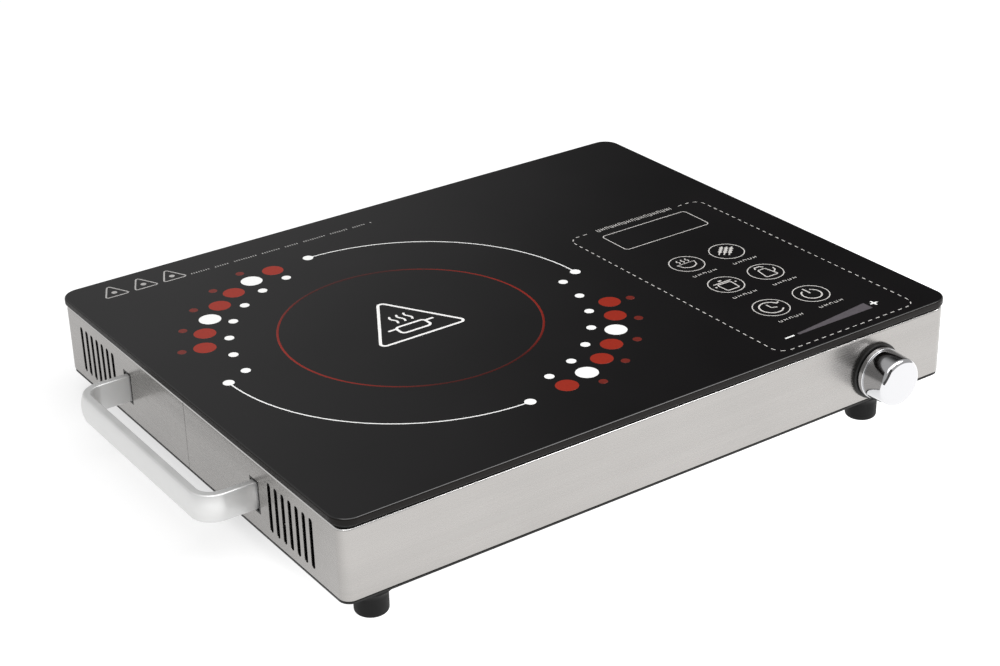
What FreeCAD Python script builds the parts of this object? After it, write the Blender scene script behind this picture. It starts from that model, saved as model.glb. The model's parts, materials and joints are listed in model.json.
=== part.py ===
import FreeCAD, Part
import math
import os

# Portable electric induction cooktop: a stainless band round a black base, a black glass
# plate on top, one round cooking zone on the left, a touch panel on the right, a chrome
# knob on the front face and a pull-out carrying handle on the left face.
#
# Lengths are millimetres.  Z is up and Z = 0 is the worktop under the feet.  While the
# pieces are built, X = 0 and Y = 0 are the middle of the housing and the front face is
# on the -Y side; save() then moves every piece so that the origin is the middle of the
# whole object's footprint.

V = FreeCAD.Vector

# ---------------------------------------------------------------- overall sizes
glass_width = 380.0
glass_depth = 300.0
glass_thickness = 4.0
glass_corner = 10.0
glass_edge_round = 1.0
glass_overhang = 1.5
band_height = 38.7
band_wall = 0.8
band_corner = 6.0
band_bend = 1.2
band_flange = 6.0
frame_height = 1.8
frame_inset = 1.0
frame_width = 10.0
frame_rib_wall = 1.6
frame_rib_depth = 5.0

# ---------------------------------------------------------------- base cover and feet
cover_lip = 1.0
cover_lip_inset = 0.3
cover_floor = 1.4
foot_height = 15.0
foot_flange_radius = 11.0
foot_flange_height = 1.5
foot_radius = 8.4
foot_straight = 9.5
foot_bottom_round = 1.6
foot_recess_radius = 4.2
foot_recess_depth = 8.0
foot_from_left = 20.0
foot_from_right = 48.0
foot_from_front = 11.6
boss_radius = 4.5
foot_boss_height = 5.0

# ---------------------------------------------------------------- side vents and seam
vent_width = 3.2
vent_top = 6.3
vent_pitch = 6.5
vent_count = 7
vent_bottom = 5.6
vent_front_start = 27.8
vent_rear_start = 236.5
seam_from_front = 153.0
seam_width = 0.3
seam_depth = 0.35

# ---------------------------------------------------------------- pull-out handle
handle_reach = 30.5
handle_front = 78.5
handle_span = 144.0
handle_height = 15.0
handle_edge_thickness = 4.2
handle_bulge = 1.6
handle_corner = 14.0
handle_bottom = 11.8
handle_bend_margin = 0.5
guide_length = 32.0
guide_wall = 3.0
guide_nose_wall = 1.0
guide_clearance = 0.35
stop_length = 8.0
stop_overlap = 2.2
stop_gap = 0.3
stop_inset = 3.0
stop_round = 0.8
stop_seat = 0.6
arm_tail = 4.0
end_post_thickness = 3.0
end_post_gap = 0.3

# ---------------------------------------------------------------- knob and encoder
knob_from_right = 51.4
knob_height = 16.6
knob_ring_radius = 14.2
knob_ring_length = 3.0
knob_groove_width = 0.7
knob_groove_depth = 0.7
knob_back_radius = 13.9
knob_front_radius = 13.3
knob_length = 17.6
knob_front_round = 2.6
knob_dome = 0.6
knob_gap = 0.4
knob_wall = 2.4
knob_hub_radius = 5.0
knob_cavity_depth = 10.0
knob_hub_setback = 2.5
index_angle = 146.0
index_length = 9.0
index_width = 1.1
index_depth = 1.2
index_from_rim = 1.4
bezel_radius = 15.5
bezel_height = 2.0
bezel_floor = 1.0
bezel_rim = 2.4
bezel_chamfer = 0.7
shaft_radius = 3.0
shaft_flat = 1.4
shaft_fit = 0.05
bush_radius = 3.9
encoder_size = 13.0
encoder_depth = 7.0
encoder_board_width = 30.0
encoder_board_below = 9.0
encoder_board_above = 11.0
nut_flats = 11.0
nut_height = 1.8

# ---------------------------------------------------------------- cooking zone
zone_from_left = 131.3
zone_from_front = 147.2
sheet_margin = 5.7
sheet_thickness = 0.5
coil_inner = 20.0
coil_turns = 19
coil_pitch = 3.7
litz_width = 3.1
litz_height = 3.2
carrier_floor = 2.0
carrier_rim = 3.0
carrier_hub_radius = 16.0
carrier_spokes = 8
spoke_width = 16.0
ferrite_end_margin = 4.3
ferrite_width = 11.0
ferrite_height = 4.6
ferrite_start = 24.0
leg_radius = 4.5
leg_angles = (60.0, 180.0, 300.0)
leg_circle = 95.55
leg_boss_height = 4.0
sensor_radius = 5.0
sensor_height = 3.0

# ---------------------------------------------------------------- touch panel
panel_from_right = 24.0
panel_from_front = 13.0
panel_width = 88.0
panel_depth = 168.0
board_thickness = 1.6
touch_gap = 5.0
touch_rows = (34.0, 70.5, 104.5)
touch_columns = (29.5, 58.0)
touch_spring_radius = 7.0
slider_pads = 5
display_width = 56.0
display_depth = 19.0
display_from_front = 151.6
tray_thickness = 2.0
tray_leg_radius = 3.6
tray_bore = 8.0

# ---------------------------------------------------------------- fan
fan_from_right = 65.0
fan_from_rear = 61.0
fan_size = 80.0
fan_height = 18.0
fan_lift = 3.0
fan_bore = 38.0
fan_tip_clearance = 0.9
fan_hub_radius = 15.5
fan_blades = 7
fan_blade_pitch = 36.0
fan_blade_thickness = 1.5
fan_shaft_radius = 1.5
fan_screw_inset = 4.6
fan_boss_radius = 3.4
fan_corner = 4.0
strut_width = 3.0
strut_height = 2.0

# ---------------------------------------------------------------- power board
main_from_left = 92.0
main_from_front = 72.0
main_width = 168.0
main_depth = 150.0
main_lift = 5.0
heatsink_width = 62.0
heatsink_depth = 60.0
heatsink_base = 3.0
heatsink_height = 16.0
heatsink_fins = 9
fin_thickness = 1.6
standoff_radius = 3.2
board_hole_inset = 5.0

# ---------------------------------------------------------------- cord gland (no cord)
gland_from_left = 250.0
gland_height = 20.0
gland_radius = 8.0
gland_bore = 3.6
gland_flange = 10.5
gland_flange_thickness = 1.2

# ---------------------------------------------------------------- screws
screw_radius = 1.5
screw_head_radius = 3.0
screw_head_height = 2.0
thread_clearance = 0.05
head_recess = 0.4
head_clearance = 0.3
blind_floor = 0.6

# ---------------------------------------------------------------- derived planes
housing_width = glass_width - 2 * glass_overhang
housing_depth = glass_depth - 2 * glass_overhang
left = -housing_width / 2
right = housing_width / 2
front = -housing_depth / 2
rear = housing_depth / 2
band_bottom = foot_height + cover_lip
band_top = band_bottom + band_height
glass_bottom = band_top + frame_height
glass_top_z = glass_bottom + glass_thickness
floor_z = band_bottom + cover_floor
cover_underside = band_bottom - cover_lip
knob_reach = bezel_height + knob_gap + knob_length + knob_dome
hole_radius = screw_radius + thread_clearance
head_hole_radius = screw_head_radius + head_clearance
head_seat = cover_underside + screw_head_height + head_recess
vent_height = band_height - vent_bottom - vent_top
coil_outer = coil_inner + coil_turns * coil_pitch
handle_travel = handle_reach - handle_corner - handle_bend_margin

# Middle of the whole object, from the handle to the glass and from the knob to the glass.
middle_x = (left - handle_reach + right + glass_overhang) / 2
middle_y = (front - knob_reach + rear + glass_overhang) / 2


# ---------------------------------------------------------------- helpers
def save(name, *solids):
    """Write one named piece, or one group of identical pieces, in the part's own frame."""
    shape = solids[0] if len(solids) == 1 else Part.makeCompound(list(solids))
    shape = shape.copy()
    shape.translate(V(-middle_x, -middle_y, 0))
    shape.exportStep(os.path.join("parts", name + ".step"))
    print(name, len(shape.Solids), round(shape.Volume, 1), shape.isValid())


def block(x0, x1, y0, y1, z0, z1):
    return Part.makeBox(x1 - x0, y1 - y0, z1 - z0, V(x0, y0, z0))


def rod(radius, z0, z1, x, y):
    return Part.makeCylinder(radius, z1 - z0, V(x, y, z0))


def rod_y(radius, y0, y1, x, z):
    """A round bar along Y from y0 to y1."""
    return Part.makeCylinder(radius, y1 - y0, V(x, y0, z), V(0, 1, 0))


def rod_x(radius, x0, x1, y, z):
    """A round bar along X from x0 to x1."""
    return Part.makeCylinder(radius, x1 - x0, V(x0, y, z), V(1, 0, 0))


def plate(x0, x1, y0, y1, radius, z0, z1):
    """A flat plate with rounded upright corners."""
    k = radius * (1 - math.sqrt(0.5))
    line = Part.LineSegment
    arc = Part.Arc
    edges = [
        line(V(x0 + radius, y0, z0), V(x1 - radius, y0, z0)),
        arc(V(x1 - radius, y0, z0), V(x1 - k, y0 + k, z0), V(x1, y0 + radius, z0)),
        line(V(x1, y0 + radius, z0), V(x1, y1 - radius, z0)),
        arc(V(x1, y1 - radius, z0), V(x1 - k, y1 - k, z0), V(x1 - radius, y1, z0)),
        line(V(x1 - radius, y1, z0), V(x0 + radius, y1, z0)),
        arc(V(x0 + radius, y1, z0), V(x0 + k, y1 - k, z0), V(x0, y1 - radius, z0)),
        line(V(x0, y1 - radius, z0), V(x0, y0 + radius, z0)),
        arc(V(x0, y0 + radius, z0), V(x0 + k, y0 + k, z0), V(x0 + radius, y0, z0)),
    ]
    wire = Part.Wire([e.toShape() for e in edges])
    return Part.Face(wire).extrude(V(0, 0, z1 - z0))


def housing_plate(inset, radius, z0, z1):
    """A plate that follows the housing's outline at a distance inside it."""
    return plate(left + inset, right - inset, front + inset, rear - inset, radius, z0, z1)


def rim_edges(shape, z):
    """The edges of a shape that lie wholly in one level plane."""
    found = []
    for edge in shape.Edges:
        box = edge.BoundBox
        if abs(box.ZMin - z) < 1e-6 and abs(box.ZMax - z) < 1e-6:
            found.append(edge)
    return found


def fuse(first, *others):
    return first.fuse(list(others)).removeSplitter() if others else first


def turned(profile, x, y):
    """A round piece about an upright axis from (radius, z) points."""
    points = [V(r, 0, z) for r, z in profile]
    face = Part.Face(Part.makePolygon(points + [points[0]]))
    solid = face.revolve(V(0, 0, 0), V(0, 0, 1), 360)
    solid.translate(V(x, y, 0))
    return solid


def turned_y(profile, x, z):
    """A round piece about an axis along Y from (radius, y) points."""
    points = [V(r, y, 0) for r, y in profile]
    face = Part.Face(Part.makePolygon(points + [points[0]]))
    solid = face.revolve(V(0, 0, 0), V(0, 1, 0), 360)
    solid.translate(V(x, 0, z))
    return solid


def arc_points(cx, cy, radius, start, end, steps):
    """Points along a rounding, used inside turned profiles."""
    out = []
    for i in range(steps + 1):
        a = math.radians(start + (end - start) * i / steps)
        out.append((cx + radius * math.cos(a), cy + radius * math.sin(a)))
    return out


def cross_recess(x, y, z_face, into):
    """The driving cross of a screw head; into is +1 or -1, the way it goes in."""
    width = screw_radius * 0.5
    reach = screw_head_radius * 0.6
    z0, z1 = sorted((z_face - into * 0.01, z_face + into * screw_head_height * 0.5))
    return fuse(block(x - reach, x + reach, y - width / 2, y + width / 2, z0, z1),
                block(x - width / 2, x + width / 2, y - reach, y + reach, z0, z1))


def screw_up(x, y, z_seat, length):
    """A pan-head screw driven upwards, its head below z_seat."""
    head = rod(screw_head_radius, z_seat - screw_head_height, z_seat, x, y)
    head = head.makeFillet(screw_head_height * 0.4, rim_edges(head, z_seat - screw_head_height))
    whole = fuse(head, rod(screw_radius, z_seat, z_seat + length, x, y))
    return whole.cut(cross_recess(x, y, z_seat - screw_head_height, 1))


def screw_down(x, y, z_seat, length):
    """A pan-head screw driven downwards, its head above z_seat."""
    head = rod(screw_head_radius, z_seat, z_seat + screw_head_height, x, y)
    head = head.makeFillet(screw_head_height * 0.4, rim_edges(head, z_seat + screw_head_height))
    whole = fuse(head, rod(screw_radius, z_seat - length, z_seat, x, y))
    return whole.cut(cross_recess(x, y, z_seat + screw_head_height, -1))


def tube_path(points, bend):
    """A path of straight runs joined by tangent arcs of one radius."""
    edges = []
    here = points[0]
    for i in range(1, len(points) - 1):
        before = (points[i] - points[i - 1]).normalize()
        after = (points[i + 1] - points[i]).normalize()
        turn = before.getAngle(after)
        back = bend * math.tan(turn / 2)
        start = points[i] - before * back
        end = points[i] + after * back
        inward = (after - before).normalize()
        middle = points[i] + inward * (bend / math.cos(turn / 2) - bend)
        edges.append(Part.LineSegment(here, start).toShape())
        edges.append(Part.Arc(start, middle, end).toShape())
        here = end
    edges.append(Part.LineSegment(here, points[-1]).toShape())
    return Part.Wire(edges)


def tube(points, radius, bend):
    """A round lead along a route of points."""
    path = tube_path(points, bend)
    first = (points[1] - points[0]).normalize()
    ring = Part.Wire([Part.makeCircle(radius, points[0], first)])
    return path.makePipeShell([ring], True, False)


def polar(cx, cy, radius, degrees):
    a = math.radians(degrees)
    return cx + radius * math.cos(a), cy + radius * math.sin(a)


os.makedirs("parts", exist_ok=True)

# ---------------------------------------------------------------- shared places
zone_x = left + zone_from_left
zone_y = front + zone_from_front
knob_x = right - knob_from_right
knob_z = band_bottom + knob_height
fan_x = right - fan_from_right
fan_y = rear - fan_from_rear
panel_x1 = right - panel_from_right
panel_x0 = panel_x1 - panel_width
panel_y0 = front + panel_from_front
panel_y1 = panel_y0 + panel_depth
main_x0 = left + main_from_left
main_x1 = main_x0 + main_width
main_y0 = front + main_from_front
main_y1 = main_y0 + main_depth
arm_z0 = band_bottom + handle_bottom
arm_z1 = arm_z0 + handle_height
arm_depth = handle_edge_thickness + handle_bulge
handle_y0 = front + handle_front
handle_y1 = handle_y0 + handle_span
gland_x = left + gland_from_left
gland_z = band_bottom + gland_height

foot_places = []
for foot_y in (front + foot_from_front, rear - foot_from_front):
    for foot_x in (left + foot_from_left, right - foot_from_right):
        foot_places.append((foot_x, foot_y))
foot_names = ("foot_front_left", "foot_front_right", "foot_rear_left", "foot_rear_right")

# The frame's posts stand over the cover's bosses, clear of the feet and the guides.
post_inset = 13.5
post_from_left = 48.0
post_from_right = 15.0
post_places = []
for post_y in (front + post_inset, rear - post_inset):
    for post_x in (left + post_from_left, 0.0, right - post_from_right):
        post_places.append((post_x, post_y))
post_boss_height = 6.0

# ---------------------------------------------------------------- glass plate
glass = plate(left - glass_overhang, right + glass_overhang, front - glass_overhang,
              rear + glass_overhang, glass_corner, glass_bottom, glass_top_z)
glass = glass.makeFillet(glass_edge_round, rim_edges(glass, glass_top_z))
save("glass_top", glass)

# ---------------------------------------------------------------- stainless side band
# A folded channel: the upright wall with a short flange turned in at top and bottom.
band = housing_plate(0, band_corner, band_bottom, band_top)
band = band.makeFillet(band_bend, rim_edges(band, band_top) + rim_edges(band, band_bottom))
band = band.cut(housing_plate(band_wall, band_corner - band_wall,
                              band_bottom + band_wall, band_top - band_wall))
band = band.cut(housing_plate(band_flange, band_corner - band_wall,
                              band_bottom - 1, band_top + 1))

slot_round = vent_width / 2
vent_cuts = []
for group_start in (vent_front_start, vent_rear_start):
    for i in range(vent_count):
        y = front + group_start + i * vent_pitch
        z0 = band_bottom + vent_bottom
        slot = block(left - 1, left + band_wall + 1, y - slot_round, y + slot_round,
                     z0 + slot_round, z0 + vent_height - slot_round)
        low = rod_x(slot_round, left - 1, left + band_wall + 1, y, z0 + slot_round)
        high = rod_x(slot_round, left - 1, left + band_wall + 1, y, z0 + vent_height - slot_round)
        vent_cuts.append(slot.fuse([low, high]))
band = band.cut(vent_cuts)

# Slots for the guides' noses, round the two arms of the handle.
nose_clearance = 0.1
nose_margin = guide_clearance + guide_nose_wall
arm_faces = ((handle_y0, handle_y0 + arm_depth), (handle_y1 - arm_depth, handle_y1))
for y0, y1 in arm_faces:
    band = band.cut(block(left - 1, left + band_wall + 1,
                          y0 - nose_margin - nose_clearance, y1 + nose_margin + nose_clearance,
                          arm_z0 - nose_margin - nose_clearance,
                          arm_z1 + nose_margin + nose_clearance))
seam_y = front + seam_from_front
band = band.cut(block(left - 1, left + seam_depth, seam_y - seam_width / 2,
                      seam_y + seam_width / 2, band_bottom - 1, band_top + 1))
band = band.cut(rod_y(bush_radius + 0.1, front - 1, front + band_wall + 1, knob_x, knob_z))
band = band.cut(rod_y(gland_radius + 0.1, rear - band_wall - 1, rear + 1, gland_x, gland_z))
save("side_band", band)

# ---------------------------------------------------------------- frame under the glass
# A black ring between band and glass, with a rib inside the band's flange and six posts.
rib_inset = band_flange + 0.3
frame = housing_plate(frame_inset, band_corner, band_top, glass_bottom)
frame = frame.cut(housing_plate(frame_inset + frame_width, band_corner, band_top - 1,
                                glass_bottom + 1))
rib = housing_plate(rib_inset, band_corner - band_wall, band_top - frame_rib_depth, band_top)
rib = rib.cut(housing_plate(rib_inset + frame_rib_wall, band_corner - band_wall,
                            band_top - frame_rib_depth - 1, band_top + 1))
frame_pieces = [rib]
post_bottom = floor_z + post_boss_height
for x, y in post_places:
    frame_pieces.append(rod(boss_radius, post_bottom, glass_bottom, x, y))
    y_edge = front + rib_inset if y < 0 else rear - rib_inset
    lug_y0, lug_y1 = sorted((y_edge, y))
    frame_pieces.append(block(x - boss_radius, x + boss_radius, lug_y0, lug_y1,
                              band_top - frame_rib_depth, glass_bottom))
frame = fuse(frame, *frame_pieces)
post_bore_depth = 12.0
for x, y in post_places:
    frame = frame.cut(rod(hole_radius, post_bottom - 1, post_bottom + post_bore_depth, x, y))
save("glass_frame", frame)

# ---------------------------------------------------------------- base cover
cover = housing_plate(cover_lip_inset, band_corner, cover_underside, band_bottom)
inner_floor = housing_plate(band_flange + 0.2, band_corner - band_wall, band_bottom, floor_z)
cover = cover.fuse(inner_floor)
bosses = []
holes = []
for x, y in post_places:
    bosses.append(rod(boss_radius, floor_z - 0.5, post_bottom, x, y))
    holes.append(rod(hole_radius, cover_underside - 1, post_bottom + 1, x, y))
    holes.append(rod(head_hole_radius, cover_underside - 1, head_seat, x, y))
for x, y in foot_places:
    bosses.append(rod(boss_radius, floor_z - 0.5, floor_z + foot_boss_height, x, y))
    holes.append(rod(hole_radius, cover_underside - 1, floor_z + foot_boss_height + 1, x, y))

# Legs of the coil carrier, stand-offs of the power board, seats of fan, tray and guides.
leg_places = [polar(zone_x, zone_y, leg_circle, a) for a in leg_angles]
for x, y in leg_places:
    bosses.append(rod(leg_radius, floor_z - 0.5, floor_z + leg_boss_height, x, y))
    holes.append(rod(hole_radius, cover_underside - 1, floor_z + leg_boss_height + 1, x, y))
    holes.append(rod(head_hole_radius, cover_underside - 1, head_seat, x, y))
main_holes = [(x, y) for x in (main_x0 + board_hole_inset, main_x1 - board_hole_inset)
              for y in (main_y0 + board_hole_inset, main_y1 - board_hole_inset)]
for x, y in main_holes:
    bosses.append(rod(standoff_radius, floor_z - 0.5, floor_z + main_lift, x, y))
    holes.append(rod(hole_radius, floor_z, floor_z + main_lift + 1, x, y))
fan_hole = fan_size / 2 - fan_screw_inset
fan_holes = [(fan_x + i * fan_hole, fan_y + j * fan_hole) for i in (-1, 1) for j in (-1, 1)]
for x, y in fan_holes:
    bosses.append(rod(fan_boss_radius, floor_z - 0.5, floor_z + fan_lift, x, y))
    holes.append(rod(hole_radius, floor_z - blind_floor, floor_z + fan_lift + 1, x, y))
tray_hole_inset = 6.0
tray_legs = [(x, y) for x in (panel_x0 + tray_hole_inset, panel_x1 - tray_hole_inset)
             for y in (panel_y0 + tray_hole_inset + 8, panel_y1 - tray_hole_inset)]
cover = fuse(cover, *bosses)

# Round intake grille under the fan: rings of slots between four spokes.
grille_pitch = 5.6
grille_slot = 3.2
grille_spoke = 4.0
grille_rings = 5
grille_cuts = []
for i in range(grille_rings):
    r0 = 10.0 + i * grille_pitch
    ring = rod(r0 + grille_slot, cover_underside - 1, floor_z + 1, fan_x, fan_y)
    ring = ring.cut(rod(r0, cover_underside - 2, floor_z + 2, fan_x, fan_y))
    grille_cuts.append(ring)
spoke_reach = fan_bore
spokes = fuse(block(fan_x - spoke_reach, fan_x + spoke_reach, fan_y - grille_spoke / 2,
                    fan_y + grille_spoke / 2, cover_underside - 1, floor_z + 1),
              block(fan_x - grille_spoke / 2, fan_x + grille_spoke / 2, fan_y - spoke_reach,
                    fan_y + spoke_reach, cover_underside - 1, floor_z + 1))
grille_cuts = [ring.cut(spokes) for ring in grille_cuts]
cover = cover.cut(holes + grille_cuts)

# Rows of cooling slots under the power board.
row_slots = 9
row_length = 34.0
row_pitch = 8.0
row_cuts = []
for i in range(row_slots):
    y = main_y0 + 30.0 + i * row_pitch
    for x in (main_x0 + 22.0, main_x0 + 22.0 + row_length + 8.0):
        row_cuts.append(plate(x, x + row_length, y, y + 3.0, 1.45, cover_underside - 1,
                              floor_z + 1))
cover = cover.cut(row_cuts)

# ---------------------------------------------------------------- handle guides
# Each guide is a block with a rectangular channel; its nose fills the slot in the band.
guide_x0 = left + band_wall
guide_x1 = guide_x0 + guide_length
guide_foot = 9.0
guide_foot_height = 3.0
guide_names = ("handle_guide_front", "handle_guide_rear")
guide_screws = []
for name, (y0, y1) in zip(guide_names, arm_faces):
    body = block(guide_x0, guide_x1, y0 - guide_clearance - guide_wall,
                 y1 + guide_clearance + guide_wall, floor_z, arm_z1 + guide_clearance + guide_wall)
    nose = block(left, guide_x0, y0 - nose_margin, y1 + nose_margin,
                 arm_z0 - nose_margin, arm_z1 + nose_margin)
    outer = y0 < (handle_y0 + handle_y1) / 2
    ear_y0 = y0 - guide_clearance - guide_wall - guide_foot if outer else y1 + guide_clearance + guide_wall
    ear = block(guide_x0 + 6, guide_x1 - 6, ear_y0, ear_y0 + guide_foot, floor_z,
                floor_z + guide_foot_height)
    guide = fuse(body, nose, ear)
    guide = guide.cut(block(left - 1, guide_x1 + 1, y0 - guide_clearance, y1 + guide_clearance,
                            arm_z0 - guide_clearance, arm_z1 + guide_clearance))
    # The block is cored out below the channel, open at its inner end.
    guide = guide.cut(block(guide_x0 + guide_wall, guide_x1 + 1, y0, y1, floor_z - 1,
                            arm_z0 - guide_clearance - guide_wall))
    for x in (guide_x0 + 10, guide_x1 - 10):
        y = ear_y0 + guide_foot / 2
        guide = guide.cut(rod(hole_radius, floor_z - 1, floor_z + guide_foot_height + 1, x, y))
        cover = cover.cut(rod(hole_radius, cover_underside + blind_floor, floor_z + 1, x, y))
        guide_screws.append(screw_down(x, y, floor_z + guide_foot_height,
                                       guide_foot_height + cover_floor))
    save(name, guide)
save("guide_screws", *guide_screws)

# ---------------------------------------------------------------- handle
# The bar is flat inside and slightly rounded outside; it is one bend at each corner.
bar_mid = (arm_z0 + arm_z1) / 2


def bar_section(place):
    """The bar's section; place(depth, z) puts its points, depth from the outer crown."""
    edge = handle_bulge
    low = Part.LineSegment(place(arm_depth, arm_z0), place(edge, arm_z0)).toShape()
    crown = Part.Arc(place(edge, arm_z0), place(0, bar_mid), place(edge, arm_z1)).toShape()
    high = Part.LineSegment(place(edge, arm_z1), place(arm_depth, arm_z1)).toShape()
    back = Part.LineSegment(place(arm_depth, arm_z1), place(arm_depth, arm_z0)).toShape()
    return Part.Face(Part.Wire([low, crown, high, back]))


grip_x = left - handle_reach
arm_end = guide_x1 + stop_gap + stop_length + arm_tail
corner_x = grip_x + handle_corner
grip_face = bar_section(lambda d, z: V(grip_x + d, handle_y0 + handle_corner, z))
grip = grip_face.extrude(V(0, handle_span - 2 * handle_corner, 0))
front_arm = bar_section(lambda d, z: V(corner_x, handle_y0 + d, z))
front_arm = front_arm.extrude(V(arm_end - corner_x, 0, 0))
rear_arm = bar_section(lambda d, z: V(corner_x, handle_y1 - d, z))
rear_arm = rear_arm.extrude(V(arm_end - corner_x, 0, 0))
front_bend = grip_face.revolve(V(corner_x, handle_y0 + handle_corner, 0), V(0, 0, 1), 90)
rear_face = bar_section(lambda d, z: V(grip_x + d, handle_y1 - handle_corner, z))
rear_bend = rear_face.revolve(V(corner_x, handle_y1 - handle_corner, 0), V(0, 0, 1), -90)
handle = fuse(grip, front_bend, rear_bend, front_arm, rear_arm)

# Stops on the arms' inner ends meet the guides when the handle is pulled right out.
stop_x0 = guide_x1 + stop_gap
stop_x1 = stop_x0 + stop_length
stops = []
for y0, y1 in arm_faces:
    stop = block(stop_x0, stop_x1, y0 - stop_overlap, y1 + stop_overlap,
                 arm_z0 + stop_inset, arm_z1 - stop_inset)
    long_edges = [e for e in stop.Edges if abs(e.Length - stop_length) < 1e-6]
    stop = stop.makeFillet(stop_round, long_edges)
    core = block(stop_x0, stop_x1, y0 + stop_seat, y1 - stop_seat,
                 arm_z0 + stop_inset, arm_z1 - stop_inset)
    handle = handle.cut(stop)
    handle = handle.fuse(core.cut(stop.cut(core)))
    stops.append(stop.cut(core))
handle = handle.removeSplitter()
save("handle_bar", handle)
save("handle_stops", *stops)

# Posts of the base cover meet the arms' ends when the handle is pushed right in, just
# before its bends reach the band.
end_post_x = arm_end + handle_travel + end_post_gap
for y0, y1 in arm_faces:
    cover = cover.fuse(block(end_post_x, end_post_x + end_post_thickness, y0, y1,
                             floor_z - 0.5, arm_z1))
cover = cover.removeSplitter()

# ---------------------------------------------------------------- feet
flare_height = foot_height - foot_flange_height - foot_straight
foot_profile = [(foot_recess_radius, 0)]
foot_profile += arc_points(foot_radius - foot_bottom_round, foot_bottom_round,
                           foot_bottom_round, -90, 0, 5)
foot_profile += [(foot_radius, foot_straight)]
flare = foot_flange_radius - foot_radius
for i in range(1, 6):
    t = i / 5.0
    foot_profile.append((foot_radius + flare * t * t, foot_straight + flare_height * t))
foot_profile += [(foot_flange_radius, foot_height), (hole_radius, foot_height),
                 (hole_radius, foot_recess_depth), (foot_recess_radius, foot_recess_depth)]
foot_screws = []
for name, (x, y) in zip(foot_names, foot_places):
    save(name, turned(foot_profile, x, y))
    foot_screws.append(screw_up(x, y, foot_recess_depth,
                                floor_z + foot_boss_height - foot_recess_depth))
save("foot_screws", *foot_screws)

# ---------------------------------------------------------------- knob and its ring
# Profiles run along Y from the front face outwards, towards -Y.
bezel_face = front - bezel_height
bezel_profile = [
    (bush_radius + 0.1, front), (bezel_radius, front), (bezel_radius, bezel_face + bezel_chamfer),
    (bezel_radius - bezel_chamfer, bezel_face), (bezel_radius - bezel_rim, bezel_face),
    (bezel_radius - bezel_rim, front - bezel_floor), (bush_radius + 0.1, front - bezel_floor)]
save("knob_bezel", turned_y(bezel_profile, knob_x, knob_z))

knob_back = front - bezel_height - knob_gap
knob_face = knob_back - knob_length
cavity_end = knob_back - knob_cavity_depth
hub_back = knob_back - knob_hub_setback
ring_round = 0.5
ring_face = knob_back - knob_ring_length
groove_face = ring_face - knob_groove_width
groove_radius = knob_ring_radius - knob_groove_depth
profile = [(0, knob_back), (knob_ring_radius - ring_round, knob_back),
           (knob_ring_radius, knob_back - ring_round),
           (knob_ring_radius, ring_face + ring_round),
           (knob_ring_radius - ring_round, ring_face), (groove_radius, ring_face),
           (groove_radius, groove_face), (knob_back_radius, groove_face)]
round_x = knob_front_radius - knob_front_round
profile += arc_points(round_x, knob_face + knob_front_round, knob_front_round, 0, -90, 8)
dome_steps = 4
for i in range(1, dome_steps + 1):
    t = i / dome_steps
    profile.append((round_x * (1 - t), knob_face - knob_dome * (1 - (1 - t) ** 2)))
outer_shell = turned_y(profile, knob_x, knob_z)
cavity = rod_y(knob_back_radius - knob_wall, cavity_end, knob_back + 1, knob_x, knob_z)
hub = rod_y(knob_hub_radius, cavity_end - 0.5, hub_back, knob_x, knob_z)
knob = outer_shell.cut(cavity).fuse(hub)
shaft_end = cavity_end - 2.0
flat_z = knob_z + shaft_radius - shaft_flat
bore = rod_y(shaft_radius, shaft_end, hub_back + 1, knob_x, knob_z)
flat_block = block(knob_x - shaft_radius - 1, knob_x + shaft_radius + 1, shaft_end - 1,
                   hub_back + 2, flat_z, knob_z + shaft_radius + 2)
knob = knob.cut(bore.cut(flat_block))
# A short index groove across the front rim, filled with black.
index_x, index_z = polar(knob_x, knob_z, knob_front_radius - index_from_rim, index_angle)
index = block(-index_length / 2, index_length / 2, knob_face - 1, knob_face + index_depth,
              -index_width / 2, index_width / 2)
index.rotate(V(0, 0, 0), V(0, 1, 0), -(index_angle - 90.0))
index.translate(V(index_x, 0, index_z))
index_inlay = index.common(outer_shell)
knob = knob.cut(index)
save("control_knob", knob)
save("knob_index", index_inlay)

# ---------------------------------------------------------------- encoder
bush_front = front - bezel_floor - nut_height - 0.6
encoder_y0 = front + band_wall
bush_bore = shaft_radius + shaft_fit
encoder = block(knob_x - encoder_size / 2, knob_x + encoder_size / 2, encoder_y0,
                encoder_y0 + encoder_depth, knob_z - encoder_size / 2, knob_z + encoder_size / 2)
encoder = encoder.fuse(rod_y(bush_radius, bush_front, encoder_y0, knob_x, knob_z))
encoder = encoder.cut(rod_y(bush_bore, bush_front - 1, encoder_y0 + encoder_depth - 1.0,
                            knob_x, knob_z))
save("encoder_body", encoder.removeSplitter())
shaft = rod_y(shaft_radius, shaft_end, encoder_y0 + encoder_depth - 1.3, knob_x, knob_z)
shaft = shaft.cut(block(knob_x - shaft_radius - 1, knob_x + shaft_radius + 1, shaft_end - 1,
                        bush_front - 0.8, flat_z, knob_z + shaft_radius + 2))
save("encoder_shaft", shaft)
hexagon = []
for i in range(6):
    hx, hz = polar(knob_x, knob_z, nut_flats / math.sqrt(3), 60 * i)
    hexagon.append(V(hx, front - bezel_floor - nut_height, hz))
nut = Part.Face(Part.makePolygon(hexagon + [hexagon[0]])).extrude(V(0, nut_height, 0))
save("encoder_nut", nut.cut(rod_y(bush_radius + 0.05, front - 9, front, knob_x, knob_z)))
encoder_board_y = encoder_y0 + encoder_depth
encoder_board = block(knob_x - encoder_board_width / 2, knob_x + encoder_board_width / 2,
                      encoder_board_y, encoder_board_y + board_thickness,
                      knob_z - encoder_board_below, knob_z + encoder_board_above)
save("encoder_board", encoder_board)

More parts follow.
